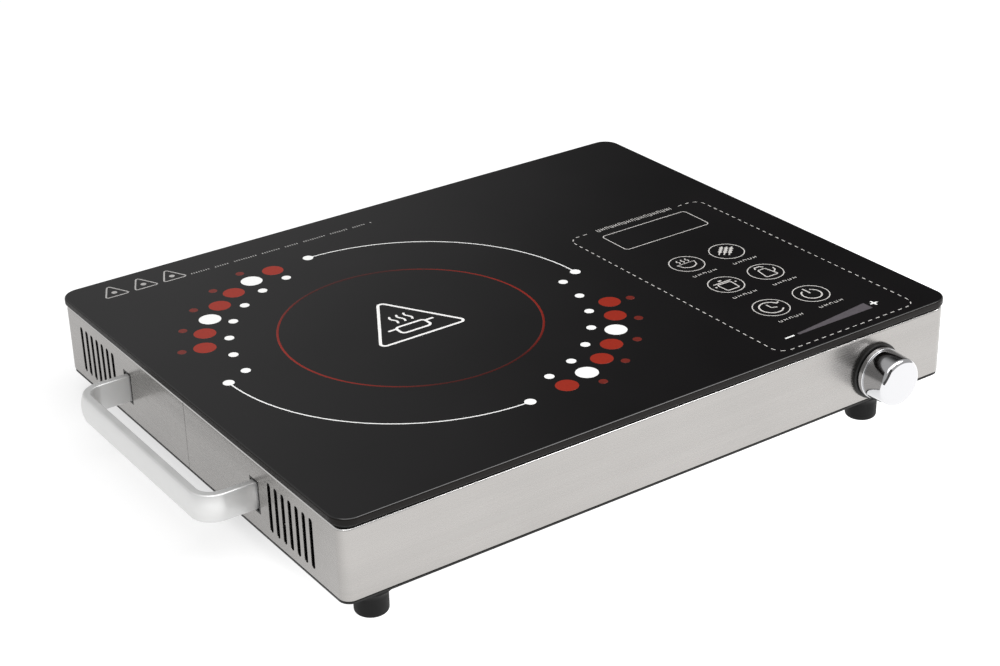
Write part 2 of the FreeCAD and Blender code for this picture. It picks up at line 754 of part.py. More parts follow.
# ---------------------------------------------------------------- cooking zone stack
sheet_z0 = glass_bottom - sheet_thickness
sheet = rod(coil_outer + sheet_margin, sheet_z0, glass_bottom, zone_x, zone_y)
sheet = sheet.cut(rod(sensor_radius + 0.3, sheet_z0 - 1, glass_bottom + 1, zone_x, zone_y))
save("insulation_sheet", sheet)

# The winding is an even spiral made of half turns about two centres.
coil_z1 = sheet_z0
coil_z0 = coil_z1 - litz_height
half_turns = []
for i in range(2 * coil_turns):
    r0 = coil_inner + i * coil_pitch / 2
    shift = coil_pitch / 4 if i % 2 else -coil_pitch / 4
    start = 180 if i % 2 else 0
    disc = Part.makeCylinder(r0 + litz_width, litz_height, V(zone_x + shift, zone_y, coil_z0),
                             V(0, 0, 1), 180)
    hole = Part.makeCylinder(r0, litz_height + 2, V(zone_x + shift, zone_y, coil_z0 - 1))
    half = disc.cut(hole)
    half.rotate(V(zone_x + shift, zone_y, 0), V(0, 0, 1), start)
    half_turns.append(half)
coil = half_turns[0].fuse(half_turns[1:])
save("coil_winding", coil)

carrier_z1 = coil_z0
carrier_z0 = carrier_z1 - carrier_floor
spoke_z0 = carrier_z0 - ferrite_height
rim_outer = coil_outer + carrier_rim
carrier = rod(rim_outer, carrier_z0, carrier_z1, zone_x, zone_y)
carrier = carrier.cut(rod(coil_outer - 9.0, carrier_z0 - 1, carrier_z1 + 1, zone_x, zone_y))
hub_disc = rod(carrier_hub_radius, carrier_z0, carrier_z1, zone_x, zone_y)
carrier_parts = [hub_disc]
for i in range(carrier_spokes):
    spoke = block(zone_x, zone_x + coil_outer, zone_y - spoke_width / 2,
                  zone_y + spoke_width / 2, carrier_z0, carrier_z1)
    for side in (-1, 1):
        y_mid = zone_y + side * (ferrite_width / 2 + 1.35)
        cheek = block(zone_x + ferrite_start, zone_x + coil_outer - 1, y_mid - 1.25, y_mid + 1.25,
                      spoke_z0 + 1.0, carrier_z0)
        spoke = spoke.fuse(cheek)
    spoke.rotate(V(zone_x, zone_y, 0), V(0, 0, 1), (i + 0.5) * 360.0 / carrier_spokes)
    carrier_parts.append(spoke)
for (x, y), angle in zip(leg_places, leg_angles):
    carrier_parts.append(rod(leg_radius, floor_z + leg_boss_height, carrier_z1, x, y))
    lug = block(zone_x + coil_outer - 2.0, zone_x + leg_circle, zone_y - leg_radius,
                zone_y + leg_radius, carrier_z0, carrier_z1)
    lug.rotate(V(zone_x, zone_y, 0), V(0, 0, 1), angle)
    carrier_parts.append(lug)
carrier = fuse(carrier, *carrier_parts)
carrier = carrier.cut(rod(sensor_radius + 0.2, carrier_z0 - 9, carrier_z1 + 1, zone_x, zone_y))
leg_bore_depth = 10.0
for x, y in leg_places:
    carrier = carrier.cut(rod(hole_radius, floor_z, floor_z + leg_boss_height + leg_bore_depth,
                              x, y))
save("coil_carrier", carrier)

ferrites = []
for i in range(carrier_spokes):
    bar = block(zone_x + ferrite_start, zone_x + coil_outer - ferrite_end_margin,
                zone_y - ferrite_width / 2, zone_y + ferrite_width / 2,
                spoke_z0, carrier_z0)
    bar.rotate(V(zone_x, zone_y, 0), V(0, 0, 1), (i + 0.5) * 360.0 / carrier_spokes)
    ferrites.append(bar)
save("ferrite_bars", *ferrites)

# Temperature sensor: a silicone bush through the carrier's hub, pressed to the glass.
sensor_z0 = carrier_z0 - 2.0
bush = rod(sensor_radius, sensor_z0, glass_bottom - 1.2, zone_x, zone_y)
bush = bush.fuse(rod(sensor_radius + 2.0, sensor_z0, carrier_z0, zone_x, zone_y))
bush = bush.cut(rod(1.6, sensor_z0 - 1, glass_bottom, zone_x, zone_y)).removeSplitter()
save("sensor_bush", bush)
bead = rod(1.55, sensor_z0 + 1.0, glass_bottom, zone_x, zone_y)
bead = bead.fuse(rod(sensor_radius - 0.6, glass_bottom - 1.2, glass_bottom, zone_x, zone_y))
save("sensor_bead", bead.removeSplitter())

coil_screws = []
for x, y in leg_places:
    coil_screws.append(screw_up(x, y, head_seat, floor_z + leg_boss_height - head_seat + 7.0))
save("coil_screws", *coil_screws)
cover_screws = []
for x, y in post_places:
    cover_screws.append(screw_up(x, y, head_seat, post_bottom - head_seat + 9.0))
save("cover_screws", *cover_screws)

# ---------------------------------------------------------------- touch panel
touch_z1 = glass_bottom - touch_gap
touch_z0 = touch_z1 - board_thickness
touch_board = block(panel_x0, panel_x1, panel_y0, panel_y1, touch_z0, touch_z1)
for x, y in tray_legs:
    touch_board = touch_board.cut(rod(hole_radius, touch_z0 - 1, touch_z1 + 1, x, y))
save("touch_board", touch_board)
pads = []
key_places = []
for row in touch_rows:
    for column in touch_columns:
        key_places.append((panel_x0 + column, panel_y0 + row))
for x, y in key_places:
    pad = rod(touch_spring_radius, glass_bottom - 0.8, glass_bottom, x, y)
    stem = rod(touch_spring_radius - 2.0, touch_z1, glass_bottom - 0.8, x, y)
    stem = stem.cut(rod(touch_spring_radius - 3.0, touch_z1 - 1, glass_bottom - 0.8, x, y))
    pads.append(fuse(pad, stem))
slider_length = 52.0
slider_x0 = panel_x0 + 18.0
slider_pitch = slider_length / slider_pads
for i in range(slider_pads):
    x0 = slider_x0 + i * slider_pitch
    pads.append(block(x0, x0 + slider_pitch - 1.5, panel_y0 + 0.5, panel_y0 + 7.5,
                      touch_z1, glass_bottom))
save("touch_pads", *pads)
display_x0 = (panel_x0 + panel_x1) / 2 - display_width / 2 + 1.0
display_y0 = front + display_from_front + 2.0
display_z1 = glass_bottom - 0.4
display = block(display_x0, display_x0 + display_width, display_y0,
                display_y0 + display_depth, touch_z1, display_z1)
digit_count = 4
digit_pitch = 12.5
digit_height = 12.0
digit_width = 7.0
stroke = 1.3
stroke_gap = 0.25
digits = []
digit_x0 = display_x0 + (display_width - (digit_count - 1) * digit_pitch - digit_width) / 2
digit_y0 = display_y0 + (display_depth - digit_height) / 2
for i in range(digit_count):
    x0 = digit_x0 + i * digit_pitch
    x1 = x0 + digit_width
    y1 = digit_y0 + digit_height
    half = digit_height / 2
    z0 = display_z1 - 0.5
    for y in (digit_y0, digit_y0 + half - stroke / 2, y1 - stroke):
        digits.append(block(x0 + stroke + stroke_gap, x1 - stroke - stroke_gap, y, y + stroke,
                            z0, display_z1))
    for x in (x0, x1 - stroke):
        for y0, y2 in ((digit_y0 + stroke, digit_y0 + half - stroke / 2),
                       (digit_y0 + half + stroke / 2, y1 - stroke)):
            digits.append(block(x, x + stroke, y0 + stroke_gap, y2 - stroke_gap, z0,
                                display_z1))
display = display.cut(digits)
save("display_module", display)
save("display_segments", *digits)
tray_z0 = touch_z0 - tray_thickness
tray = block(panel_x0 - 2, panel_x1 + 1, panel_y0 + 8, panel_y1 + 2, tray_z0, touch_z0)
for x0, x1 in ((panel_x0 + 14, (panel_x0 + panel_x1) / 2 - 3),
               ((panel_x0 + panel_x1) / 2 + 3, panel_x1 - 14)):
    for y0, y1 in ((panel_y0 + 24, panel_y0 + 78), (panel_y0 + 86, panel_y1 - 16)):
        tray = tray.cut(block(x0, x1, y0, y1, tray_z0 - 1, touch_z0 + 1))
for x, y in tray_legs:
    tray = tray.fuse(rod(tray_leg_radius, floor_z, tray_z0, x, y))
tray = tray.removeSplitter()
tray_screws = []
for x, y in tray_legs:
    tray = tray.cut(rod(hole_radius, touch_z0 - tray_bore, touch_z0 + 1, x, y))
    tray_screws.append(screw_down(x, y, touch_z1, board_thickness + tray_bore - 1.0))
save("panel_tray", tray)
save("tray_screws", *tray_screws)

# ---------------------------------------------------------------- fan
fan_z0 = floor_z + fan_lift
fan_z1 = fan_z0 + fan_height
fan_x0 = fan_x - fan_size / 2
fan_y0 = fan_y - fan_size / 2
fan_frame = plate(fan_x0, fan_x0 + fan_size, fan_y0, fan_y0 + fan_size, fan_corner, fan_z0,
                  fan_z1)
fan_frame = fan_frame.cut(rod(fan_bore, fan_z0 - 1, fan_z1 + 1, fan_x, fan_y))
strut_parts = [rod(fan_hub_radius - 1.0, fan_z1 - strut_height, fan_z1, fan_x, fan_y)]
for i in range(4):
    strut = block(fan_x, fan_x + fan_bore + 1.0, fan_y - strut_width / 2,
                  fan_y + strut_width / 2, fan_z1 - strut_height, fan_z1)
    strut.rotate(V(fan_x, fan_y, 0), V(0, 0, 1), 45 + 90 * i)
    strut_parts.append(strut)
fan_frame = fuse(fan_frame, *strut_parts)
stator_radius = fan_hub_radius - 4.0
stator_z0 = fan_z0 + 5.0
stator = rod(stator_radius, stator_z0, fan_z1 - strut_height, fan_x, fan_y)
shaft_hole = fan_shaft_radius + 0.05
stator = stator.cut(rod(shaft_hole, stator_z0 - 1, fan_z1, fan_x, fan_y))
fan_frame = fan_frame.cut(rod(shaft_hole, fan_z1 - strut_height - 1, fan_z1 - 0.8, fan_x, fan_y))
for x, y in fan_holes:
    fan_frame = fan_frame.cut(rod(hole_radius, fan_z0 - 1, fan_z1 + 1, x, y))
save("fan_frame", fan_frame)
save("fan_stator", stator)
save("fan_screws", *[screw_down(x, y, fan_z1, fan_height + fan_lift) for x, y in fan_holes])

hub_z0 = fan_z0 + 1.0
hub_z1 = fan_z1 - strut_height - 0.8
rotor = rod(fan_hub_radius, hub_z0, hub_z1, fan_x, fan_y)
rotor = rotor.cut(rod(stator_radius + 0.8, stator_z0 - 0.8, hub_z1 + 1, fan_x, fan_y))
tip_radius = fan_bore - fan_tip_clearance
blade_z0 = hub_z0 + 0.5
blade_z1 = hub_z1 - 0.2
blades = []
for i in range(fan_blades):
    blade = block(fan_hub_radius - 2.0, tip_radius + 2.0, -13.0, 13.0,
                  -fan_blade_thickness / 2, fan_blade_thickness / 2)
    blade.rotate(V(0, 0, 0), V(1, 0, 0), fan_blade_pitch)
    blade.rotate(V(0, 0, 0), V(0, 0, 1), i * 360.0 / fan_blades)
    blade.translate(V(fan_x, fan_y, (blade_z0 + blade_z1) / 2))
    blades.append(blade)
ring_space = rod(tip_radius, blade_z0, blade_z1, fan_x, fan_y)
ring_space = ring_space.cut(rod(fan_hub_radius - 0.6, blade_z0 - 1, blade_z1 + 1, fan_x, fan_y))
blades = [blade.common(ring_space) for blade in blades]
rotor = fuse(rotor, *blades)
fan_shaft_z1 = fan_z1 - 1.0
save("fan_rotor", rotor.cut(rod(fan_shaft_radius, hub_z0 + 1.5, hub_z1 + 9, fan_x, fan_y)))
save("fan_shaft", rod(fan_shaft_radius, hub_z0 + 1.5, fan_shaft_z1, fan_x, fan_y))

# ---------------------------------------------------------------- power board
main_z0 = floor_z + main_lift
main_z1 = main_z0 + board_thickness
main_board = block(main_x0, main_x1, main_y0, main_y1, main_z0, main_z1)
for x, y in main_holes:
    main_board = main_board.cut(rod(hole_radius, main_z0 - 1, main_z1 + 1, x, y))
save("main_board", main_board)
save("board_screws", *[screw_down(x, y, main_z1, board_thickness + main_lift - 0.5)
                       for x, y in main_holes])

# Heatsink beside the fan, fins along the air stream, with the two power devices under it.
sink_x1 = main_x1 - 4.0
sink_x0 = sink_x1 - heatsink_width
sink_y1 = main_y1 - 14.0
sink_y0 = sink_y1 - heatsink_depth
device_height = 3.0
sink_z0 = main_z1 + device_height
sink = block(sink_x0, sink_x1, sink_y0, sink_y1, sink_z0, sink_z0 + heatsink_base)
fin_pitch = (heatsink_depth - fin_thickness) / (heatsink_fins - 1)
fins = []
for i in range(heatsink_fins):
    y = sink_y0 + i * fin_pitch
    fins.append(block(sink_x0, sink_x1, y, y + fin_thickness, sink_z0,
                      sink_z0 + heatsink_height))
save("heatsink", fuse(sink, *fins))
device_y = (sink_y0 + sink_y1) / 2
device_depth = 20.0
transistor_inset = 6.0
transistor_width = 16.0
bridge_inset = 32.0
bridge_width = 22.0


def device(inset, width):
    """A flat power device between the board and the heatsink."""
    return block(sink_x0 + inset, sink_x0 + inset + width, device_y - device_depth / 2,
                 device_y + device_depth / 2, main_z1, sink_z0)


igbt = device(transistor_inset, transistor_width)
bridge = device(bridge_inset, bridge_width)
save("power_transistor", igbt)
save("bridge_rectifier", bridge)

# Tall parts of the power stage, each standing on the board.
capacitors = []
capacitor_top = main_z1 + 17.0
for x, y, w, d in ((20.0, 14.0, 32.0, 16.0), (60.0, 14.0, 32.0, 16.0), (100.0, 14.0, 18.0, 9.0)):
    can = block(main_x0 + x, main_x0 + x + w, main_y0 + y, main_y0 + y + d, main_z1, capacitor_top)
    capacitors.append(can.makeFillet(1.0, rim_edges(can, capacitor_top)))
save("film_capacitors", *capacitors)
choke_x = main_x0 + 30.0
choke_y = main_y0 + 62.0
choke_inner = 7.0
choke_outer = 14.0
choke_height = 11.0
choke_z0 = main_z1 + 2.0
choke = rod(choke_outer, choke_z0, choke_z0 + choke_height, choke_x, choke_y)
choke = choke.cut(rod(choke_inner, choke_z0 - 1, choke_z0 + choke_height + 1, choke_x, choke_y))
choke = choke.makeFillet(2.0, [e for e in choke.Edges if e.Length > choke_inner * math.pi])
save("choke_core", choke)
choke_base = rod(choke_outer + 1.0, main_z1, choke_z0, choke_x, choke_y)
save("choke_base", choke_base)
cans = []
for x, y, r, h in ((62.0, 52.0, 5.0, 16.0), (76.0, 52.0, 5.0, 16.0), (70.0, 68.0, 4.0, 12.0)):
    can = rod(r, main_z1, main_z1 + h, main_x0 + x, main_y0 + y)
    cans.append(can.makeFillet(0.8, rim_edges(can, main_z1 + h)))
save("electrolytic_cans", *cans)
core_x = main_x0 + 26.0
core_y = main_y0 + 104.0
save("supply_transformer", fuse(
    block(core_x - 10, core_x + 10, core_y - 9, core_y + 9, main_z1, main_z1 + 15),
    block(core_x - 12, core_x + 12, core_y - 5, core_y + 5, main_z1 + 3, main_z1 + 12)))
fuse_y = main_y0 + 38.0
fuse_radius = 2.6
fuse_z = main_z1 + 4.6
fuse_body = rod_x(fuse_radius, main_x0 + 118.0, main_x0 + 138.0, fuse_y, fuse_z)
save("fuse", fuse_body)
clips = []
for x in (main_x0 + 117.0, main_x0 + 134.0):
    clip = block(x, x + 5.0, fuse_y - fuse_radius - 1.0, fuse_y + fuse_radius + 1.0, main_z1,
                 fuse_z + 1.6)
    clips.append(clip.cut(rod_x(fuse_radius, x - 1, x + 6, fuse_y, fuse_z)))
save("fuse_clips", *clips)
header_x = main_x1 - 10.0
header_y = main_y0 + 14.0
header_width = 8.0
header_top = main_z1 + 7.0
fan_header_x = main_x0 + 96.0
fan_header_y = main_y1 - 12.0
headers = [block(header_x, header_x + header_width, header_y, header_y + 22.0, main_z1,
                 header_top),
           block(fan_header_x, fan_header_x + header_width, fan_header_y,
                 fan_header_y + header_width, main_z1, header_top)]
save("board_headers", *headers)

# Ribbon from the touch board down to the power board.
ribbon_y0 = header_y + 3.0
ribbon_width = 16.0
ribbon_thickness = 0.8
ribbon_x = header_x + 4.0
ribbon_z = header_top
drop_x = panel_x0 + 6.0
rise = ribbon_z + 6.0
t = ribbon_thickness
ribbon_points = [V(ribbon_x, ribbon_y0, ribbon_z), V(ribbon_x, ribbon_y0, rise),
                 V(drop_x, ribbon_y0, rise), V(drop_x, ribbon_y0, tray_z0),
                 V(drop_x + t, ribbon_y0, tray_z0), V(drop_x + t, ribbon_y0, rise - t),
                 V(ribbon_x + t, ribbon_y0, rise - t), V(ribbon_x + t, ribbon_y0, ribbon_z)]
ribbon = Part.Face(Part.makePolygon(ribbon_points + [ribbon_points[0]]))
save("panel_ribbon", ribbon.extrude(V(0, ribbon_width, 0)))

# Leads of the coil: from the winding's two ends down to posts on the power board.
lead_radius = 1.5
lead_posts = ((main_x0 + 72.0, main_y0 + 38.0), (main_x0 + 84.0, main_y0 + 38.0))
lead_terminals = []
leads = []
for x, y in lead_posts:
    lead_terminals.append(rod(3.2, main_z1, main_z1 + 5.0, x, y))
    leads.append(rod(lead_radius, main_z1 + 5.0, coil_z0, x, y))
save("coil_terminals", *lead_terminals)
save("coil_leads", *leads)

# ---------------------------------------------------------------- cord gland and terminal
gland_y0 = rear - band_wall - 9.0
gland = rod_y(gland_radius, gland_y0, rear, gland_x, gland_z)
gland = gland.fuse(rod_y(gland_flange, rear, rear + gland_flange_thickness, gland_x, gland_z))
gland = gland.removeSplitter()
gland = gland.cut(rod_y(gland_bore, gland_y0 - 1, rear + 3, gland_x, gland_z))
save("cord_gland", gland)
lock_nut = rod_y(gland_flange, gland_y0 + 3.0, rear - band_wall, gland_x, gland_z)
save("gland_lock_ring", lock_nut.cut(rod_y(gland_radius + 0.05, gland_y0, rear, gland_x, gland_z)))
terminal_x0 = gland_x - 14.0
terminal_y1 = gland_y0 - 6.0
terminal = block(terminal_x0, terminal_x0 + 28.0, terminal_y1 - 14.0, terminal_y1, floor_z,
                 floor_z + 14.0)
for i in range(3):
    x = terminal_x0 + 5.0 + 9.0 * i
    terminal = terminal.cut(rod(2.2, floor_z + 8.0, floor_z + 15.0, x, terminal_y1 - 7.0))
save("mains_terminal", terminal)

# ---------------------------------------------------------------- rating plate (blank)
plate_width = 64.0
plate_depth = 36.0
plate_x = left + 90.0
plate_y = rear - 70.0
plate_thickness = 0.4
save("rating_plate", plate(plate_x, plate_x + plate_width, plate_y, plate_y + plate_depth, 2.0,
                           cover_underside - plate_thickness, cover_underside))
save("base_cover", cover)
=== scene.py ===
"""A portable induction cooktop, dressed for a studio picture.

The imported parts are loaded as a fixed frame.  Parts whose shape is right keep it and get
a finish; the glass, its fired decoration, the steel band, the handle, the knob, the feet
and the cord gland are modelled again here with finer edges.  Lengths are metres, Z is up
and the worktop is at Z = 0.
"""
import json
import logging
import math
from collections.abc import Callable, Iterator, Sequence
from contextlib import contextmanager
from dataclasses import dataclass, field
from enum import Enum
from itertools import pairwise

import bmesh
import bpy
from mathutils import Matrix, Vector


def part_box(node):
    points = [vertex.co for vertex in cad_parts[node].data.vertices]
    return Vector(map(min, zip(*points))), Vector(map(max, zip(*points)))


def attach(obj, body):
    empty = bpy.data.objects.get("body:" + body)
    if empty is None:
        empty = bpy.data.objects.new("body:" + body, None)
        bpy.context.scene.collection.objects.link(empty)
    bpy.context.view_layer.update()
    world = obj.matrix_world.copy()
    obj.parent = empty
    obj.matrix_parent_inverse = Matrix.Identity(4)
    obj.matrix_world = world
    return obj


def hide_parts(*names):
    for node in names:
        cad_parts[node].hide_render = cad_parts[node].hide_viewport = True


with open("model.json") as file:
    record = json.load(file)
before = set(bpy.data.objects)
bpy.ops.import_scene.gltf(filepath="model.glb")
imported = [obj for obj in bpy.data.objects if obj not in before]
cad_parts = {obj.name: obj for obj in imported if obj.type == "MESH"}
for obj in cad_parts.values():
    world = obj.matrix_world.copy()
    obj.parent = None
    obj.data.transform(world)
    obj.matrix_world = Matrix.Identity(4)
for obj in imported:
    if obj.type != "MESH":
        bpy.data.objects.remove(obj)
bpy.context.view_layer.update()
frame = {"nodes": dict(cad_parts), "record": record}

MM = 0.001
TINY = 1e-6
Y_AXIS = Vector((0.0, 1.0, 0.0))
Z_AXIS = Vector((0.0, 0.0, 1.0))
LOG = logging.getLogger("cooktop")

Point = tuple[float, float]
Colour = tuple[float, float, float]
Piece = bpy.types.Object


class Elements(Enum):
    """What edit mode selects."""

    VERTS = "VERT"
    EDGES = "EDGE"
    FACES = "FACE"


# ------------------------------------------------------------------ the modelling bench
def pick(piece: Piece) -> None:
    """Make one piece the only selected one, and the active one.

    Args:
        piece: The piece to work on.
    """
    bpy.ops.object.select_all(action="DESELECT")
    piece.select_set(True)
    bpy.context.view_layer.objects.active = piece


@contextmanager
def editing(piece: Piece, elements: Elements = Elements.EDGES) -> Iterator[None]:
    """Hold a piece in edit mode with nothing selected.

    Args:
        piece: The piece to edit.
        elements: What is selected in this session.

    Yields:
        Nothing; the piece is in edit mode until the block ends.
    """
    pick(piece)
    bpy.ops.object.mode_set(mode="EDIT")
    bpy.ops.mesh.select_mode(type=elements.value)
    bpy.ops.mesh.select_all(action="DESELECT")
    yield
    bpy.ops.object.mode_set(mode="OBJECT")


def select_edges(piece: Piece, wanted: Callable[[Vector, Vector], bool]) -> None:
    """Select the edges of the edited piece whose two ends pass a test.

    Args:
        piece: The piece in edit mode.
        wanted: Takes the two ends of an edge.
    """
    mesh = bmesh.from_edit_mesh(piece.data)
    for edge in mesh.edges:
        if wanted(edge.verts[0].co, edge.verts[1].co):
            edge.select_set(True)
    bmesh.update_edit_mesh(piece.data)


def select_faces(piece: Piece, wanted: Callable[[Vector, Vector], bool]) -> None:
    """Select the faces of the edited piece by middle and normal.

    Args:
        piece: The piece in edit mode.
        wanted: Takes the middle and the normal of a face.
    """
    mesh = bmesh.from_edit_mesh(piece.data)
    mesh.normal_update()
    for face in mesh.faces:
        if wanted(face.calc_center_median(), face.normal):
            face.select_set(True)
    bmesh.update_edit_mesh(piece.data)


def is_upright(a: Vector, b: Vector) -> bool:
    """True for an edge that runs along Z."""
    return abs(a.x - b.x) < TINY and abs(a.y - b.y) < TINY


def at_level(level: float) -> Callable[[Vector, Vector], bool]:
    """A test for edges that lie in one level plane.

    Args:
        level: Height of the plane.

    Returns:
        The test, for select_edges.
    """
    return lambda a, b: abs(a.z - level) < TINY and abs(b.z - level) < TINY


def settle(piece: Piece, name: str) -> Piece:
    """Name a piece and move its place, turn and scale into its mesh.

    Args:
        piece: The piece as it was added.
        name: Its name from now on.

    Returns:
        The same piece.
    """
    piece.name = name
    piece.data.name = name
    pick(piece)
    bpy.ops.object.transform_apply(location=True, rotation=True, scale=True)
    return piece


def start_box(name: str, low: Vector, high: Vector) -> Piece:
    """Add a box between two corners, ready to be shaped.

    Args:
        name: Name of the piece.
        low: Lowest corner.
        high: Highest corner.

    Returns:
        The box.
    """
    bpy.ops.object.select_all(action="DESELECT")
    bpy.ops.mesh.primitive_cube_add(size=1.0, location=(low + high) / 2, scale=high - low)
    return settle(bpy.context.active_object, name)


def start_rod(name: str, radius: float, start: Vector, end: Vector, sides: int = 48) -> Piece:
    """Add a round bar between two points, ready to be shaped.

    Args:
        name: Name of the piece.
        radius: Its radius.
        start: Middle of one end.
        end: Middle of the other end.
        sides: Number of sides.

    Returns:
        The bar.
    """
    run = end - start
    bpy.ops.object.select_all(action="DESELECT")
    bpy.ops.mesh.primitive_cylinder_add(
        vertices=sides, radius=radius, depth=run.length, location=(start + end) / 2,
        rotation=run.to_track_quat("Z", "Y").to_euler())
    return settle(bpy.context.active_object, name)


def bevel_edges(piece: Piece, wanted: Callable[[Vector, Vector], bool], radius: float,
                segments: int) -> None:
    """Round the chosen edges of a piece.

    Args:
        piece: The piece.
        wanted: Takes the two ends of an edge.
        radius: Radius of the rounding.
        segments: Number of facets across it.
    """
    with editing(piece):
        select_edges(piece, wanted)
        bpy.ops.mesh.bevel(offset=radius, offset_type="OFFSET", segments=segments,
                           profile=0.5, affect="EDGES")


def start_line(name: str, points: Sequence[Vector], closed: bool) -> Piece:
    """Draw a run of edges one corner at a time.

    Args:
        name: Name of the piece.
        points: Corners of the line.
        closed: True to join the last corner to the first.

    Returns:
        A piece of edges only.
    """
    bpy.ops.object.select_all(action="DESELECT")
    bpy.ops.mesh.primitive_plane_add(size=MM, location=points[0])
    piece = settle(bpy.context.active_object, name)
    with editing(piece, Elements.VERTS):
        bpy.ops.mesh.select_all(action="SELECT")
        bpy.ops.mesh.merge(type="CENTER")
        for before, after in pairwise(points):
            bpy.ops.mesh.extrude_vertices_move(
                TRANSFORM_OT_translate={"value": after - before})
    if closed:
        with editing(piece, Elements.VERTS):
            mesh = bmesh.from_edit_mesh(piece.data)
            for vert in mesh.verts:
                if len(vert.link_edges) == 1:
                    vert.select_set(True)
            bmesh.update_edit_mesh(piece.data)
            bpy.ops.mesh.edge_face_add()
    return piece


def tidy_shell() -> None:
    """Merge doubles and turn all faces outwards, in edit mode."""
    bpy.ops.mesh.select_all(action="SELECT")
    bpy.ops.mesh.remove_doubles(threshold=TINY)
    bpy.ops.mesh.normals_make_consistent(inside=False)


def turned(name: str, profile: Sequence[Point], centre: Vector, axis: Vector,
           steps: int = 64, closed: bool = False) -> Piece:
    """Turn a profile round an axis, as on a lathe.

    Args:
        name: Name of the piece.
        profile: (radius, height along the axis) points from one end to the other.
        centre: Point on the axis where the height is 0.
        axis: Direction of the axis.
        steps: Facets round the axis.
        closed: True for a ring, whose profile goes all the way round.

    Returns:
        The turned piece.
    """
    side = axis.orthogonal().normalized()
    points = [centre + side * radius + axis * height for radius, height in profile]
    piece = start_line(name, points, closed=closed)
    with editing(piece, Elements.VERTS):
        bpy.ops.mesh.select_all(action="SELECT")
        bpy.ops.mesh.spin(steps=steps, angle=2 * math.pi, center=centre, axis=axis)
        tidy_shell()
    return piece


def rounding(middle: Point, radius: float, start: float, end: float,
             steps: int = 6) -> list[Point]:
    """Points along a round stretch of a profile.

    Args:
        middle: Centre of the rounding.
        radius: Its radius.
        start: First angle in degrees.
        end: Last angle in degrees.
        steps: Number of facets.

    Returns:
        The points, both ends included.
    """
    angles = [math.radians(start + (end - start) * i / steps) for i in range(steps + 1)]
    return [(middle[0] + radius * math.cos(a), middle[1] + radius * math.sin(a))
            for a in angles]


def apply_modifier(piece: Piece, kind: str, **settings: object) -> None:
    """Add one modifier to a piece and apply it.

    Args:
        piece: The piece.
        kind: Blender's name of the modifier.
        **settings: Values for the modifier.
    """
    pick(piece)
    bpy.ops.object.modifier_add(type=kind)
    modifier = piece.modifiers[-1]
    for key, value in settings.items():
        setattr(modifier, key, value)
    bpy.ops.object.modifier_apply(modifier=modifier.name)


def carve(piece: Piece, cutter: Piece) -> None:
    """Cut one piece out of another, and drop the cutter.

    Args:
        piece: The piece that stays.
        cutter: The piece that is taken away.
    """
    apply_modifier(piece, "BOOLEAN", operation="DIFFERENCE", solver="EXACT", object=cutter)
    bpy.data.objects.remove(cutter)


def break_edges(piece: Piece, radius: float, angle: float = 35.0, segments: int = 2) -> None:
    """Break every sharp edge of a piece with a small rounding.

    Args:
        piece: The piece.
        radius: Radius of the rounding.
        angle: Edges sharper than this, in degrees, are rounded.
        segments: Facets across each rounding.
    """
    apply_modifier(piece, "BEVEL", width=radius, segments=segments,
                   limit_method="ANGLE", angle_limit=math.radians(angle),
                   use_clamp_overlap=True)


def smooth(piece: Piece, angle: float = 35.0) -> None:
    """Shade a piece smooth across its flat facets, and keep its sharp edges.

    Args:
        piece: The piece.
        angle: Edges sharper than this, in degrees, stay sharp.
    """
    pick(piece)
    bpy.ops.object.shade_smooth_by_angle(angle=math.radians(angle))
    apply_modifier(piece, "WEIGHTED_NORMAL", keep_sharp=True, weight=80)


def copy_piece(piece: Piece, name: str, move: Matrix) -> Piece:
    """Copy a piece with a mesh of its own.

    Args:
        piece: The piece to repeat.
        name: Name of the copy.
        move: How the copy's mesh is moved or turned.

    Returns:
        The copy.
    """
    copy = piece.copy()
    copy.data = piece.data.copy()
    copy.name = name
    copy.data.name = name
    copy.data.transform(move)
    bpy.context.scene.collection.objects.link(copy)
    return copy


def join(name: str, pieces: Sequence[Piece]) -> Piece:
    """Make one piece of several.

    Args:
        name: Name of the joined piece.
        pieces: The pieces; the first keeps its finish.

    Returns:
        The joined piece.
    """
    pick(pieces[0])
    for piece in pieces:
        piece.select_set(True)
    if len(pieces) > 1:
        bpy.ops.object.join()
    pieces[0].name = name
    pieces[0].data.name = name
    return pieces[0]


def middle_of(node: str) -> Vector:
    """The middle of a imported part's box.

    Args:
        node: Name of the part.

    Returns:
        The middle.
    """
    low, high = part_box(node)
    return (low + high) / 2


